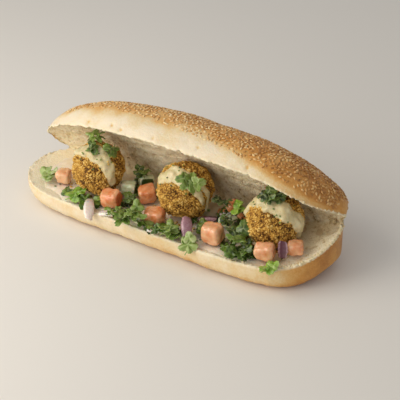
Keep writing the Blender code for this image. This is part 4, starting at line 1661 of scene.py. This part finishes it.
@dataclass
class Leaf:
    """A herb leaf: lobed and toothed, veined, wavy, with a short stalk."""

    node: str
    radius: float
    lobes: int
    seed: float
    tint: float
    pose: Pose = field(default_factory=Pose)
    leaflets: int = 3
    around: int = 96
    rows: int = 9
    thickness: float = 0.45
    vein_width: float = 0.4
    stalk_width: float = 0.75
    tooth: float = 0.15
    lobe: float = 0.38

    def reach(self, turn: Array) -> Array:
        """The leaf's edge, with its lobes, its teeth and the notch at its stalk.

        Args:
            turn: angles in radians.
        Returns:
            The distance from the leaf's middle at each angle, in mm.
        """
        lobe = np.abs(np.cos(self.lobes * turn / 2.0)) ** 1.2
        tooth = np.abs(np.cos(2.5 * self.lobes * turn)) * (0.4 + 0.6 * lobe)
        notch = 1.0 - 0.35 * np.exp(-((turn % math.tau - 1.5 * math.pi) ** 2) / 0.08)
        return self.radius * (0.88 - self.lobe + self.lobe * lobe + self.tooth * tooth) * notch

    def lamina(self) -> tuple[Array, dict[str, Array]]:
        """The blade as a table of places: its top from the middle out, then its underside back in.

        Returns:
            The table, and the numbers to store.
        """
        turn = np.linspace(0.0, math.tau, self.around + 1)[:, None]
        out = np.linspace(0.0, 1.0, self.rows)
        share = np.concatenate([out, out[::-1]])[None]
        side = np.concatenate([np.full(self.rows, 0.5), np.full(self.rows, -0.5)])[None]
        x, y = self.reach(turn) * share * np.cos(turn), self.reach(turn) * share * np.sin(turn)
        wave = 0.16 * share * np.sin(self.lobes * turn + self.seed) - 0.12 * share**2
        step = math.tau / self.lobes
        off = np.abs((turn / step + 0.5) % 1.0 - 0.5) * step * share * self.radius
        rib = np.exp(-((off / self.vein_width) ** 2)) * (1.0 - 0.6 * share)
        twig = np.exp(-(((off - (share * 3.0 % 1.0) * 1.6) / 0.3) ** 2)) * 0.45 * ramp(share, 0.1, 0.3)
        vein = np.maximum(rib, twig)
        spots = joined(x, y, self.seed * 7.0)
        crinkle = 0.14 * share**1.5 * hills(spots, self.radius * 0.6)
        crinkle = crinkle + 0.03 * share * hills(spots, self.radius * 0.2)
        z = self.radius * (wave + crinkle) + side * self.thickness * (1.0 - 0.55 * share) - 0.16 * vein
        tint = self.tint + 0.12 * hills(spots, 3.0) - 0.05 * side + 0.22 * share**5 - 0.06
        return joined(x, y, z), {"vein": vein + 0 * z, "tint": tint}

    def stalk(self) -> Thing:
        """The short stalk, from under the blade's middle out past its notch.

        Returns:
            The stalk.
        """
        share = np.linspace(0.0, 1.0, 14)[:, None]
        lean = np.linspace(0.0, math.tau, 11)[None]
        ends = np.sqrt(np.clip(1.0 - np.abs(2 * share - 1) ** 16, 0.05, 1.0))
        wide = self.stalk_width / 2.0 * (0.75 + 0.25 * share) * ends
        y = -self.radius * (0.15 + 0.85 * share)
        z = -0.4 - 0.10 * self.radius * share**2 + wide * np.sin(lean)
        x = 0.12 * self.radius * np.sin(share * 2.0 + self.seed) + wide * np.cos(lean)
        table = capped(joined(x, y, z))
        flat = np.ones(table.shape[:2])
        return surface("stalk", table, {"vein": flat * 0.4, "tint": flat * (0.5 + 0.3 * self.tint)})

    def leaflet(self, i: int, draw: random.Random) -> Thing:
        """A smaller blade that stands over the leaf's middle.

        Args:
            i: its number.
            draw: the random numbers.
        Returns:
            The blade.
        """
        small = replace(
            self, radius=self.radius * draw.uniform(0.6, 0.82), lobes=3, seed=self.seed + i + 1.0,
            tint=self.tint + draw.uniform(-0.16, 0.2), around=72, rows=7,
        )
        made = surface("leaflet", *small.lamina())
        points = places(made) + (0.0, 0.85 * small.radius, 0.0)
        turn = 360.0 * i / self.leaflets + draw.uniform(-25.0, 25.0)
        points = turned(points, turn, draw.uniform(8.0, 40.0), draw.uniform(-30.0, 30.0))
        set_places(made, points + (0.0, 0.0, 0.5))
        return made

    def build(self) -> Thing:
        """Makes the sprig and lays it where its solid lies.

        Returns:
            The sprig, which stores vein and tint.
        """
        made = surface(self.node, *self.lamina())
        shift = self.shift(self.turn(places(made)))
        draw = random.Random(self.node)
        rest = [self.stalk(), *(self.leaflet(i, draw) for i in range(self.leaflets))]
        pick(made)
        for part in rest:
            part.select_set(True)
        bpy.ops.object.join()
        set_places(made, self.turn(places(made)) + shift)
        return smooth(made)

    def turn(self, points: Array) -> Array:
        """Turns the leaf the way its solid is turned."""
        return self.pose.apply(points)

    def shift(self, points: Array) -> Array:
        """How far the turned leaf is from where its solid lies."""
        return (settle(points, self.node) - points)[0]


@dataclass
class BallLeaf(Leaf):
    """A leaf that lies over a ball and bends with it."""

    ball_radius: float = 20.0
    azimuth: float = 0.0
    elevation: float = 90.0
    drape: float = 0.8
    ball_centre: Triple | None = None
    over_crust: float = 2.6

    def turn(self, points: Array) -> Array:
        """Bends the leaf over the ball and turns it to face away from the ball's middle.

        Args:
            points: places in mm.
        Returns:
            The bent and turned places.
        """
        points = points.copy()
        points[:, 2] -= self.drape * (points[:, 0] ** 2 + points[:, 1] ** 2) / (2.0 * self.ball_radius)
        out = Vector(direction(self.azimuth, self.elevation)).to_track_quat("Z", "Y").to_matrix()
        return points @ np.array(out @ Matrix.Rotation(math.radians(self.pose.turn), 3, "Z")).T

    def shift(self, points: Array) -> Array:
        """How far the turned leaf is from its solid, or from its ball where it has none.

        Args:
            points: the turned places in mm.
        Returns:
            The shift in mm.
        """
        if self.ball_centre is None:
            return super().shift(points)
        away = direction(self.azimuth, self.elevation) * (self.ball_radius + self.over_crust)
        return np.array(self.ball_centre) + away


@dataclass
class Heap:
    """A low mound of chopped salad behind the balls: its core, and where its bits lie."""

    name: str
    centre: tuple[float, float]
    half_length: float
    half_depth: float
    height: float
    form: RollForm
    floor_gap: float = 2.1

    def core(self) -> Thing:
        """The mound's body.

        Returns:
            The body, which stores vein and tint.
        """
        ball = bpy.ops.mesh.primitive_uv_sphere_add
        made, out = primitive(ball, "salad_core_" + self.name, segments=64, ring_count=40, radius=1.0)
        out = out / np.linalg.norm(out, axis=1)[:, None]
        x, y = self.centre
        size = 1.0 + 0.16 * hills(out * 2.2 + np.array((x, 0.0, 0.0)), 1.0)
        px, py = x + self.half_length * out[:, 0] * size, y + self.half_depth * out[:, 1] * size
        floor = self.form.lower_cut(px, py) + self.floor_gap
        points = joined(px, py, floor + np.maximum(0.0, out[:, 2]) * self.height * size)
        points += out * (0.7 * hills(points, 2.4))[:, None]
        set_places(made, points)
        paint(made, "vein", np.zeros(len(points)))
        paint(made, "tint", 0.22 + 0.3 * hills(points, 2.0))
        return smooth(made)

    def spot(self, draw: random.Random) -> Matrix:
        """A place on the mound with a random turn.

        Args:
            draw: the random numbers.
        Returns:
            The place in mm.
        """
        turn, share = draw.uniform(0, math.tau), math.sqrt(draw.random())
        px = self.centre[0] + self.half_length * share * math.cos(turn)
        py = self.centre[1] + self.half_depth * share * math.sin(turn)
        floor = float(self.form.lower_cut(np.array(px), np.array(py))) + self.floor_gap
        z = floor + self.height * math.sqrt(max(0.0, 1.0 - share * share)) + draw.uniform(-0.2, 0.9)
        return tumbled(draw, Matrix.Translation((px, py, z)), 35.0)


def scrap(size: float, lobes: int) -> Thing:
    """A small torn bit of herb, its radius in mm, with so many lobes."""
    table, _ = Leaf("scrap", size, lobes, float(lobes), 0.0, around=14, rows=3, thickness=0.35).lamina()
    return surface("scrap", table)


def cube_bit(*sizes: float) -> Thing:
    """A small chopped cube with softened edges.

    Args:
        sizes: its sizes along X, Y and Z in mm.
    Returns:
        The new object.
    """
    made, points = primitive(bpy.ops.mesh.primitive_cube_add, "cube_bit", size=1.0)
    set_places(made, points * sizes * (1.0 + 0.12 * np.sin(np.arange(8) * 2.3))[:, None])
    return apply(made, "BEVEL", width=0.18 * min(sizes) * MM, segments=2)


def crumb_bit(size: float) -> Thing:
    """A small rough crumb.

    Args:
        size: about how wide it is in mm.
    Returns:
        The new object.
    """
    made, out = primitive(bpy.ops.mesh.primitive_ico_sphere_add, "crumb_bit", subdivisions=2, radius=1.0)
    set_places(made, out * (size / 2.0 * (1.0 + 0.45 * hills(out * 2.0, 1.0)))[:, None])
    return made


# The filling as it lies in the roll

Sprig = tuple[str, float, float, float, float, int, float, int]

# Each ball's centre and radius, then the azimuth, elevation and half width along each ribbon of tahini
BALLS = {
    "left": ((-61.3, -12.0, 35.6), 19.0, [
        [(-168, 36, 11), (-132, 60, 17), (-62, 64, 19), (-36, 38, 14), (-27, 8, 10), (-22, -18, 6)],
    ]),
    "middle": ((9.5, -4.5, 37.0), 20.4, [
        [(-138, 30, 11), (-116, 54, 18), (-70, 56, 18), (-42, 36, 11), (-24, 12, 7), (-16, -8, 4)],
        [(-34, 50, 7), (-6, 14, 5), (1, -34, 3)],
    ]),
    "right": ((83.2, -4.0, 36.4), 19.6, [
        [(-158, 12, 9), (-160, 44, 14), (-82, 66, 18), (-25, 42, 17), (0, 14, 15), (11, -22, 9)],
    ]),
}
# Each piece's turn, size, paleness and skin side
TOMATOES = [
    (20, (11, 11, 9), 0.9, 4), (12, (15, 12, 11), 0.25, 1), (38, (13, 12, 12), 0.15, 3),
    (22, (15, 12, 11), 0.3, 0), (8, (15, 12, 13), 0.6, 4), (16, (14, 10, 12), 0.6, 4),
    (30, (11, 9, 9), 0.5, 4), (30, (10, 9, 7), 0.1, 3),
]
# Each piece's turn, size and skin side
CUCUMBERS = [(25, (12, 10, 11), 1), (50, (11, 8, 9), 2), (10, (7, 5, 5), 0), (12, (11, 6, 6), 4)]
# The last two slices have purple past 1, which spreads the dark skin colour over nearly all of them: their
# purple skin, and painted shade where they lie in shadow.
# Each slice's turn, tip, roll, bend radius, width, thickness, arc and purple
ONIONS = [
    (-57, 0, 12, 16, 7.5, 1.5, 82, 0.3), (20, 8, 0, 24, 6, 1.6, 40, 0.4), (20, 8, 0, 22, 6, 1.6, 34, 0.4),
    (-57, 0, 30, 20, 8, 2.2, 52, 0.6), (35, -12, 0, 18, 6, 2.0, 40, 1.25), (135, 0, -80, 18, 7, 1.8, 40, 1.4),
]
# Each leaf's turn, tip, roll, radius, lobes, tint and leaflets
LEAVES = {
    "pale_left": (200, -6, 14, 7.5, 3, 0.84, 3), "bright_left": (330, 10, 14, 8.5, 3, 0.5, 1),
    "behind_cucumber": (60, 10, -10, 6.5, 5, 0.35, 3), "under_cucumber": (300, 14, 10, 5.5, 5, 0.32, 3),
    "cluster_low": (250, 12, 8, 8.5, 5, 0.48, 4), "cluster_high": (160, 10, -12, 7.5, 5, 0.52, 3),
    "middle_low": (230, 14, 8, 7.5, 5, 0.56, 3), "middle_small": (20, 8, 10, 6, 3, 0.4, 2),
    "dark_curl": (40, 6, 8, 5.5, 3, 0.15, 2), "bright_back": (10, 10, -10, 6.5, 3, 0.6, 2),
    "dark_back": (120, 10, 10, 6, 5, 0.1, 2), "parsley_high": (330, 18, 12, 8, 5, 0.28, 4),
    "parsley_low": (240, 16, 8, 8.5, 5, 0.25, 4), "sprig_right": (330, 12, 8, 6.5, 3, 0.6, 2),
    "over_rim": (10, 38, 0, 8, 5, 0.74, 1),
}
BROAD = {"pale_left", "bright_left", "over_rim", "bright_back", "dark_curl", "middle_small"}
YOUNG = {"bright_left", "bright_back", "sprig_right"}
# Each leaf's ball, azimuth, elevation, turn, radius, lobes, tint and leaflets
BALL_LEAVES: dict[str, Sprig] = {
    "left_top": ("left", 150, 78, 30, 7, 5, 0.5, 2), "left_side": ("left", 5, 58, 110, 7, 3, 0.42, 1),
    "middle_front": ("middle", -44, 42, 60, 8.5, 5, 0.55, 2),
    "right_top": ("right", -95, 72, 10, 6.5, 5, 0.15, 3),
}
LAID_LEAVES: dict[str, Sprig] = {
    "left_crown": ("left", -84, 70, 200, 5.5, 3, 0.3, 2),
    "right_crown": ("right", -40, 76, 120, 5.5, 5, 0.18, 2),
}
# Each mound's centre, half length, half depth and height
HEAPS = {"left": ((-17.5, 14.5), 7.5, 7.0, 6.0), "right": ((43.0, 6.5), 11.0, 8.5, 8.0)}
# Where loose bits gather, and how far they spread
LOOSE_SPOTS = [
    (-39.0, 8.0, 5.0), (-31.0, -17.0, 5.0), (-30.0, -34.0, 4.0), (-6.0, -33.0, 4.0), (-27.0, -31.0, 4.0),
    (16.0, -36.0, 5.0), (26.0, -37.0, 4.0), (6.0, -35.0, 4.0), (34.0, -18.0, 5.0), (41.0, -19.0, 4.0),
    (59.0, -20.0, 6.0), (70.0, -27.0, 6.0), (64.0, -34.0, 5.0), (74.0, -18.0, 4.0), (84.0, -27.0, 3.0),
    (52.0, -15.0, 5.0), (-76.0, -29.0, 3.0), (-58.0, -33.0, 3.0), (33.0, 4.0, 6.0), (57.0, -4.0, 5.0),
    (-26.0, 2.0, 5.0), (-50.0, -30.0, 3.0),
]


@dataclass
class Loose:
    """Torn leaves and crumbs that lie between the larger pieces."""

    form: RollForm
    leaves: int = 120
    crumbs: int = 190
    flecks: int = 90
    over_sauce: float = 1.8
    over_crust: float = 1.6

    def free(self, point: Array) -> bool:
        """Whether a place is clear of the cubes and balls.

        Args:
            point: a place in mm.
        Returns:
            True where it is clear.
        """
        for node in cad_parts:
            if "dice" in node:
                low, high = (np.array(corner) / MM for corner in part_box(node))
                if np.all(point > low) and np.all(point < high):
                    return False
        return all(np.linalg.norm(point - np.array(b[0])) > b[1] + 0.5 for b in BALLS.values())

    def on_sauce(
        self, draw: random.Random, x: float, y: float, spread: float, rise: tuple[float, float]
    ) -> Array:
        """A place near a spot, above the sauce.

        Args:
            draw: the random numbers.
            x: the spot along the roll.
            y: the spot across it.
            spread: how far from the spot.
            rise: the least and the most height above the sauce.
        Returns:
            The place in mm.
        """
        px, py = x + draw.gauss(0.0, spread), y + draw.gauss(0.0, spread * 0.7)
        floor = float(self.form.lower_cut(np.array(px), np.array(py)))
        return np.array((px, py, floor + self.over_sauce + draw.uniform(*rise)))

    def torn_leaves(self) -> Thing:
        """Small whole and torn leaves.

        Returns:
            The leaves as one mesh.
        """
        draw = random.Random(21)
        sizes = {"around": 48, "rows": 5, "thickness": 0.35}
        shapes = [Leaf("torn", 4.6, lobes, lobes * 1.7, 0.0, **sizes) for lobes in (2, 3, 5)]
        kinds = [surface("torn", shape.lamina()[0]) for shape in shapes]
        spots = []
        while len(spots) < self.leaves:
            x, y, spread = LOOSE_SPOTS[len(spots) % len(LOOSE_SPOTS)]
            point = self.on_sauce(draw, x, y, spread, (0.4, 4.2))
            if self.free(point):
                size = draw.uniform(0.7, 1.2)
                place = tumbled(draw, Matrix.Translation(point), 38.0) @ Matrix.Scale(size, 4)
                spots.append((len(spots) % 3, place, draw.uniform(0.1, 0.7)))
        return scattered("torn_leaves", kinds, spots, vein=0.0)

    def fried_crumbs(self) -> Thing:
        """Crumbs that fell off the balls.

        Returns:
            The crumbs as one mesh.
        """
        draw = random.Random(22)
        kinds = [crumb_bit(1.0), crumb_bit(1.5), crumb_bit(2.1)]
        spots = []
        while len(spots) < self.crumbs:
            centre, radius, _ = draw.choice(list(BALLS.values()))
            turn, away = draw.uniform(math.pi, math.tau), radius * draw.uniform(0.55, 1.25)
            x, y = centre[0] + away * math.cos(turn), centre[1] + away * math.sin(turn)
            point = self.on_sauce(draw, x, y, 0.5, (-0.1, 0.2))
            if y > self.form.lower_sides(np.array(x))[0] + 6.0 and self.free(point):
                size = draw.randrange(3)
                place = tumbled(draw, Matrix.Translation(point), 180.0)
                spots.append((size, place, draw.uniform(0.2, 0.9)))
        return scattered("fried_crumbs", kinds, spots)

    def herb_flecks(self) -> Thing:
        """Fine flecks of herb on the sauce and on the balls.

        Returns:
            The flecks as one mesh.
        """
        draw = random.Random(23)
        kinds = [scrap(1.1, 2), scrap(0.8, 3)]
        spots = []
        for i in range(self.flecks):
            if i % 2:
                centre, radius, _ = list(BALLS.values())[i % 3]
                out = direction(draw.uniform(-170.0, 10.0), draw.uniform(20.0, 85.0))
                turn = Vector(out).to_track_quat("Z", "Y").to_matrix().to_4x4()
                place = Matrix.Translation(np.array(centre) + out * (radius + self.over_crust)) @ turn
                place = place @ Matrix.Rotation(draw.uniform(0, math.tau), 4, "Z")
            else:
                x = draw.uniform(-100.0, 105.0)
                front = float(self.form.lower_sides(np.array(x))[0])
                point = self.on_sauce(draw, x, front + draw.uniform(8.0, 22.0), 1.0, (0.0, 0.2))
                place = tumbled(draw, Matrix.Translation(point), 15.0)
            spots.append((i % 2, place, draw.uniform(0.1, 0.6)))
        return scattered("herb_flecks", kinds, spots, vein=0.0)


@dataclass(frozen=True)
class Chopped:
    """A vegetable that lies on the mounds in small cubes of two sizes."""

    slot: str
    count: int
    cubes: tuple[Triple, Triple]
    colours: tuple[str, str, str]


CHOPPED = (
    Chopped("onion", 34, ((3.4, 2.4, 1.3), (2.6, 1.8, 1.2)), ("#F4EEE6", "#DDCBCB", "#7B4458")),
    Chopped("cucumber", 22, ((4.2, 3.4, 2.4), (3.0, 2.6, 2.0)), ("#E4E8C6", "#CBD3A0", "#3B5423")),
    Chopped("tomato", 22, ((4.2, 3.6, 2.8), (3.2, 2.6, 2.0)), ("#E6AE7C", "#D67E4A", "#C26534")),
)


@dataclass
class Filling:
    """Everything in the roll's mouth, laid piece by piece."""

    form: RollForm
    herb_scraps: int = 150
    scrap_sizes: tuple[tuple[float, int], ...] = ((2.6, 3), (1.9, 2), (3.1, 5))
    broad_edge: tuple[float, float] = (0.09, 0.24)

    def sauce(self) -> bpy.types.Material:
        """The sauce on the bread and on each ball, and the balls.

        Returns:
            The balls' finish.
        """
        pink = Sauced("sauce_on_bread", 0.3, subsurface=0.2, coat=0.25).build("#EAD9BE", "#F4E9D5", "#D8C6A3")
        cream = Sauced("tahini_sauce", 0.32, subsurface=0.2, coat=0.2).build("#CDBB88", "#DFD0A4", "#A58D56")
        fried = Fried("fried_crust", 0.75).build()
        dress(Spread(self.form).build(), pink, "tahini", "tahini_spread")
        for name, (centre, radius, ribbons) in BALLS.items():
            ball = Ball(name, centre, radius, ribbons, self.form)
            dress(ball.crust(), fried, "falafel", "falafel_" + name)
            dress(ball.tahini(), cream, "tahini")
        return fried

    def vegetables(self) -> None:
        """The larger cubes and slices."""
        wet = {"subsurface": 0.35, "glow_scale": 0.003, "coat": 0.7}
        red = Flesh("tomato_flesh", 0.22, **wet).build("#F0BE92", "#DC824A", "#C65F30", 1.4)
        green = Flesh("cucumber_flesh", 0.28, **wet).build("#EEF2D2", "#CDD7A4", "#3B5423", 1.2)
        lilac = Flesh("onion_flesh", 0.25, **wet).build("#F2E8DA", "#DFCDBF", "#8A5064", 0.5)
        purple = Flesh("red_onion_skin", 0.28, coat=0.4).build("#C9A5AC", "#93596B", "#54202E", 0.5)
        for i, (turn, size, pale, side) in enumerate(TOMATOES):
            dice = Dice(f"tomato_dice_{i + 1}", size, i, Pose(turn, 6.0, -4.0), side, pale)
            dress(dice.build(), red, "tomato", dice.node)
        for i, (turn, size, side) in enumerate(CUCUMBERS):
            dice = Dice(f"cucumber_dice_{i + 1}", size, i + 20, Pose(turn, -5.0, 7.0), side, 0.6)
            dress(dice.build(), green, "cucumber", dice.node)
        for i, (turn, tip, roll, radius, width, thick, arc, dark) in enumerate(ONIONS):
            strip = OnionStrip(f"onion_strip_{i + 1}", Pose(turn, tip, roll), radius, width, thick, arc, dark)
            dress(strip.build(), purple if dark > 0.5 else lilac, "onion", strip.node)

    def herbs(self) -> bpy.types.Material:
        """The whole leaves: on the crumb and over its rim, on the balls, and two with no solid.

        Returns:
            Their finish.
        """
        green = {"subsurface": 0.12, "glow_depth": (0.4, 1.0, 0.2), "coat": 0.3}
        leafy, young = Leafy("fresh_herb", 0.34, **green), Leafy("young_herb", 0.36, **green)
        leafy = leafy.build("#2A3A10", "#485F1C", "#6C862C", "#93A558", "#B8C28C")
        young = young.build("#2E4A08", "#4F7410", "#769C22", "#9BBA4A", "#C2D08A")
        for i, (name, (turn, tip, roll, radius, lobes, tint, more)) in enumerate(LEAVES.items()):
            leaf = Leaf("leaf_" + name, radius, lobes, i, tint, Pose(turn, tip, roll), more)
            if name in BROAD:
                leaf.tooth, leaf.lobe = self.broad_edge
            self.lay(leaf, name, young if name in YOUNG else leafy)
        for name, sizes in (BALL_LEAVES | LAID_LEAVES).items():
            ball, azimuth, elevation, turn, radius, lobes, tint, more = sizes
            centre, ball_radius, _ = BALLS[ball]
            leaf = BallLeaf(
                "leaf_" + name, radius, lobes, turn, tint, Pose(turn), more,
                ball_radius=ball_radius, azimuth=azimuth, elevation=elevation,
            )
            if name in LAID_LEAVES:
                leaf.node, leaf.ball_centre = "herb_" + name, centre
            self.lay(leaf, name, leafy)
        return leafy

    def lay(self, leaf: Leaf, name: str, finish: bpy.types.Material) -> None:
        """Makes one leaf and dresses it, in place of its solid where it has one.

        Args:
            leaf: the leaf.
            name: its name after "herb_".
            finish: its finish.
        """
        made = leaf.build()
        made.name = "herb_" + name
        solids = [leaf.node] if leaf.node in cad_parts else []
        dress(made, finish, "herb", *solids)

    def heaps(self, leafy: bpy.types.Material) -> None:
        """The mounds of chopped salad, and the bits on them.

        Args:
            leafy: the herbs' finish.
        """
        mounds = [Heap(name, *sizes, self.form) for name, sizes in HEAPS.items()]
        for mound in mounds:
            dress(mound.core(), leafy, "salad", "salad_heap_" + mound.name)
        draw = random.Random(5)
        scraps = [scrap(size, lobes) for size, lobes in self.scrap_sizes]
        spots = self.spots_on(mounds, draw, self.herb_scraps, len(scraps), (0.05, 0.6))
        dress(scattered("chopped_herbs", scraps, spots, vein=0.0), leafy, "herb")
        for bit in CHOPPED:
            name = "chopped_" + bit.slot
            cubes = [cube_bit(*sizes) for sizes in bit.cubes]
            made = scattered(name, cubes, self.spots_on(mounds, draw, bit.count, len(cubes), (0.0, 1.0)))
            tint = painted(made, "tint")
            paint(made, "pale", tint)
            paint(made, "skin", ramp(tint, 0.75, 0.95))
            flesh = Flesh(name, 0.3, subsurface=0.25, glow_scale=0.002, coat=0.5)
            dress(made, flesh.build(*bit.colours, 0.6), bit.slot)

    def spots_on(
        self, mounds: list[Heap], draw: random.Random, count: int, kinds: int, tints: tuple[float, float]
    ) -> list[tuple[int, Matrix, float]]:
        """Spots on the mounds, two on the right one for each on the left.

        Args:
            mounds: the left mound and the right one.
            draw: the random numbers.
            count: how many spots.
            kinds: how many kinds of bit there are.
            tints: the least and the most tint.
        Returns:
            Which bit, where it goes, and its tint.
        """
        return [(i % kinds, mounds[i % 3 > 0].spot(draw), draw.uniform(*tints)) for i in range(count)]

    def build(self) -> None:
        """Lays the whole filling."""
        fried = self.sauce()
        self.vegetables()
        leafy = self.herbs()
        self.heaps(leafy)
        loose = Loose(self.form)
        dress(loose.torn_leaves(), leafy, "herb")
        dress(loose.herb_flecks(), leafy, "herb")
        crumbs = loose.fried_crumbs()
        paint(crumbs, "crag", painted(crumbs, "tint"))
        dress(crumbs, fried, "falafel")


@dataclass(frozen=True)
class Lamp:
    """A square light that faces the roll.

    Its azimuth runs from the camera's own direction to its right, away and size are in mm, and
    its power is in watts.
    """

    name: str
    azimuth: float
    elevation: float
    away: float
    power: float
    size: float
    colour: str


@dataclass
class Studio:
    """The photo's camera and its soft light."""

    azimuth: float = 33.0
    elevation: float = 32.0
    target: Triple = (18.5, 1.0, 28.0)
    distance: float = 1040.0
    lens: float = 130.5
    sensor: float = 36.0
    floor: str = "#E8E3DB"
    sky: str = "#FFFFFF"
    sky_strength: float = 0.44
    lamps: tuple[Lamp, ...] = (
        Lamp("key", -80.0, 36.0, 680.0, 3.0, 600.0, "#FFF8EE"),
        Lamp("front", -46.0, 8.0, 900.0, 3.4, 900.0, "#FFFDF8"),
    )

    def hang(self, name: str, data: bpy.types.ID, azimuth: float, elevation: float, away: float) -> Thing:
        """Adds a lamp or a camera that faces the roll.

        Args:
            name: the object's name.
            data: its light or camera.
            azimuth: degrees from straight in front of the roll, to its right.
            elevation: degrees above level.
            away: how far it is from the target in mm.
        Returns:
            The object.
        """
        out = Vector(direction(azimuth - 90.0, elevation))
        made = bpy.data.objects.new(name, data)
        bpy.context.scene.collection.objects.link(made)
        made.location = (Vector(self.target) + out * away) * MM
        made.rotation_euler = out.to_track_quat("Z", "Y").to_euler()
        return made

    def build(self) -> None:
        """Lays the floor, then sets the lights and the camera."""
        floor, _ = primitive(bpy.ops.mesh.primitive_plane_add, "floor", size=6.0)
        pale = Finish("pale_floor", 0.8).start()
        pale.shader.inputs["Base Color"].default_value = linear(self.floor)
        floor.data.materials.append(pale.material)
        for lamp in self.lamps:
            data = bpy.data.lights.new(lamp.name, "AREA")
            data.energy, data.size = lamp.power, lamp.size * MM
            data.color = linear(lamp.colour)[:3]
            self.hang(lamp.name, data, self.azimuth + lamp.azimuth, lamp.elevation, lamp.away)
        world = bpy.data.worlds.new("soft_white")
        world.use_nodes = True
        sky = world.node_tree.nodes["Background"]
        sky.inputs["Color"].default_value = linear(self.sky)
        sky.inputs["Strength"].default_value = self.sky_strength
        scene = bpy.context.scene
        scene.world = world
        scene.view_settings.view_transform = "Standard"
        data = bpy.data.cameras.new("camera")
        data.lens, data.sensor_width = self.lens, self.sensor
        scene.camera = self.hang("camera", data, self.azimuth, self.elevation, self.distance)


def main() -> None:
    """Builds the bread, its seeds, the filling and the studio, in that order."""
    logging.basicConfig(level=logging.INFO, format="%(name)s: %(message)s")
    form = RollForm()
    wheat = Baked("baked_bread", 0.45, subsurface=0.12, glow_scale=0.0015).build()
    dress(Bread(form).build(), wheat, "crust", "bread_roll")
    dress(RimCrumbs(form).build(), wheat, "crust")
    seeds = Toasted("toasted_sesame", 0.4, subsurface=0.1)
    dress(Sesame(form).build(), seeds.build(), "crust")
    Filling(form).build()
    Studio().build()


if __name__ == "__main__":
    main()
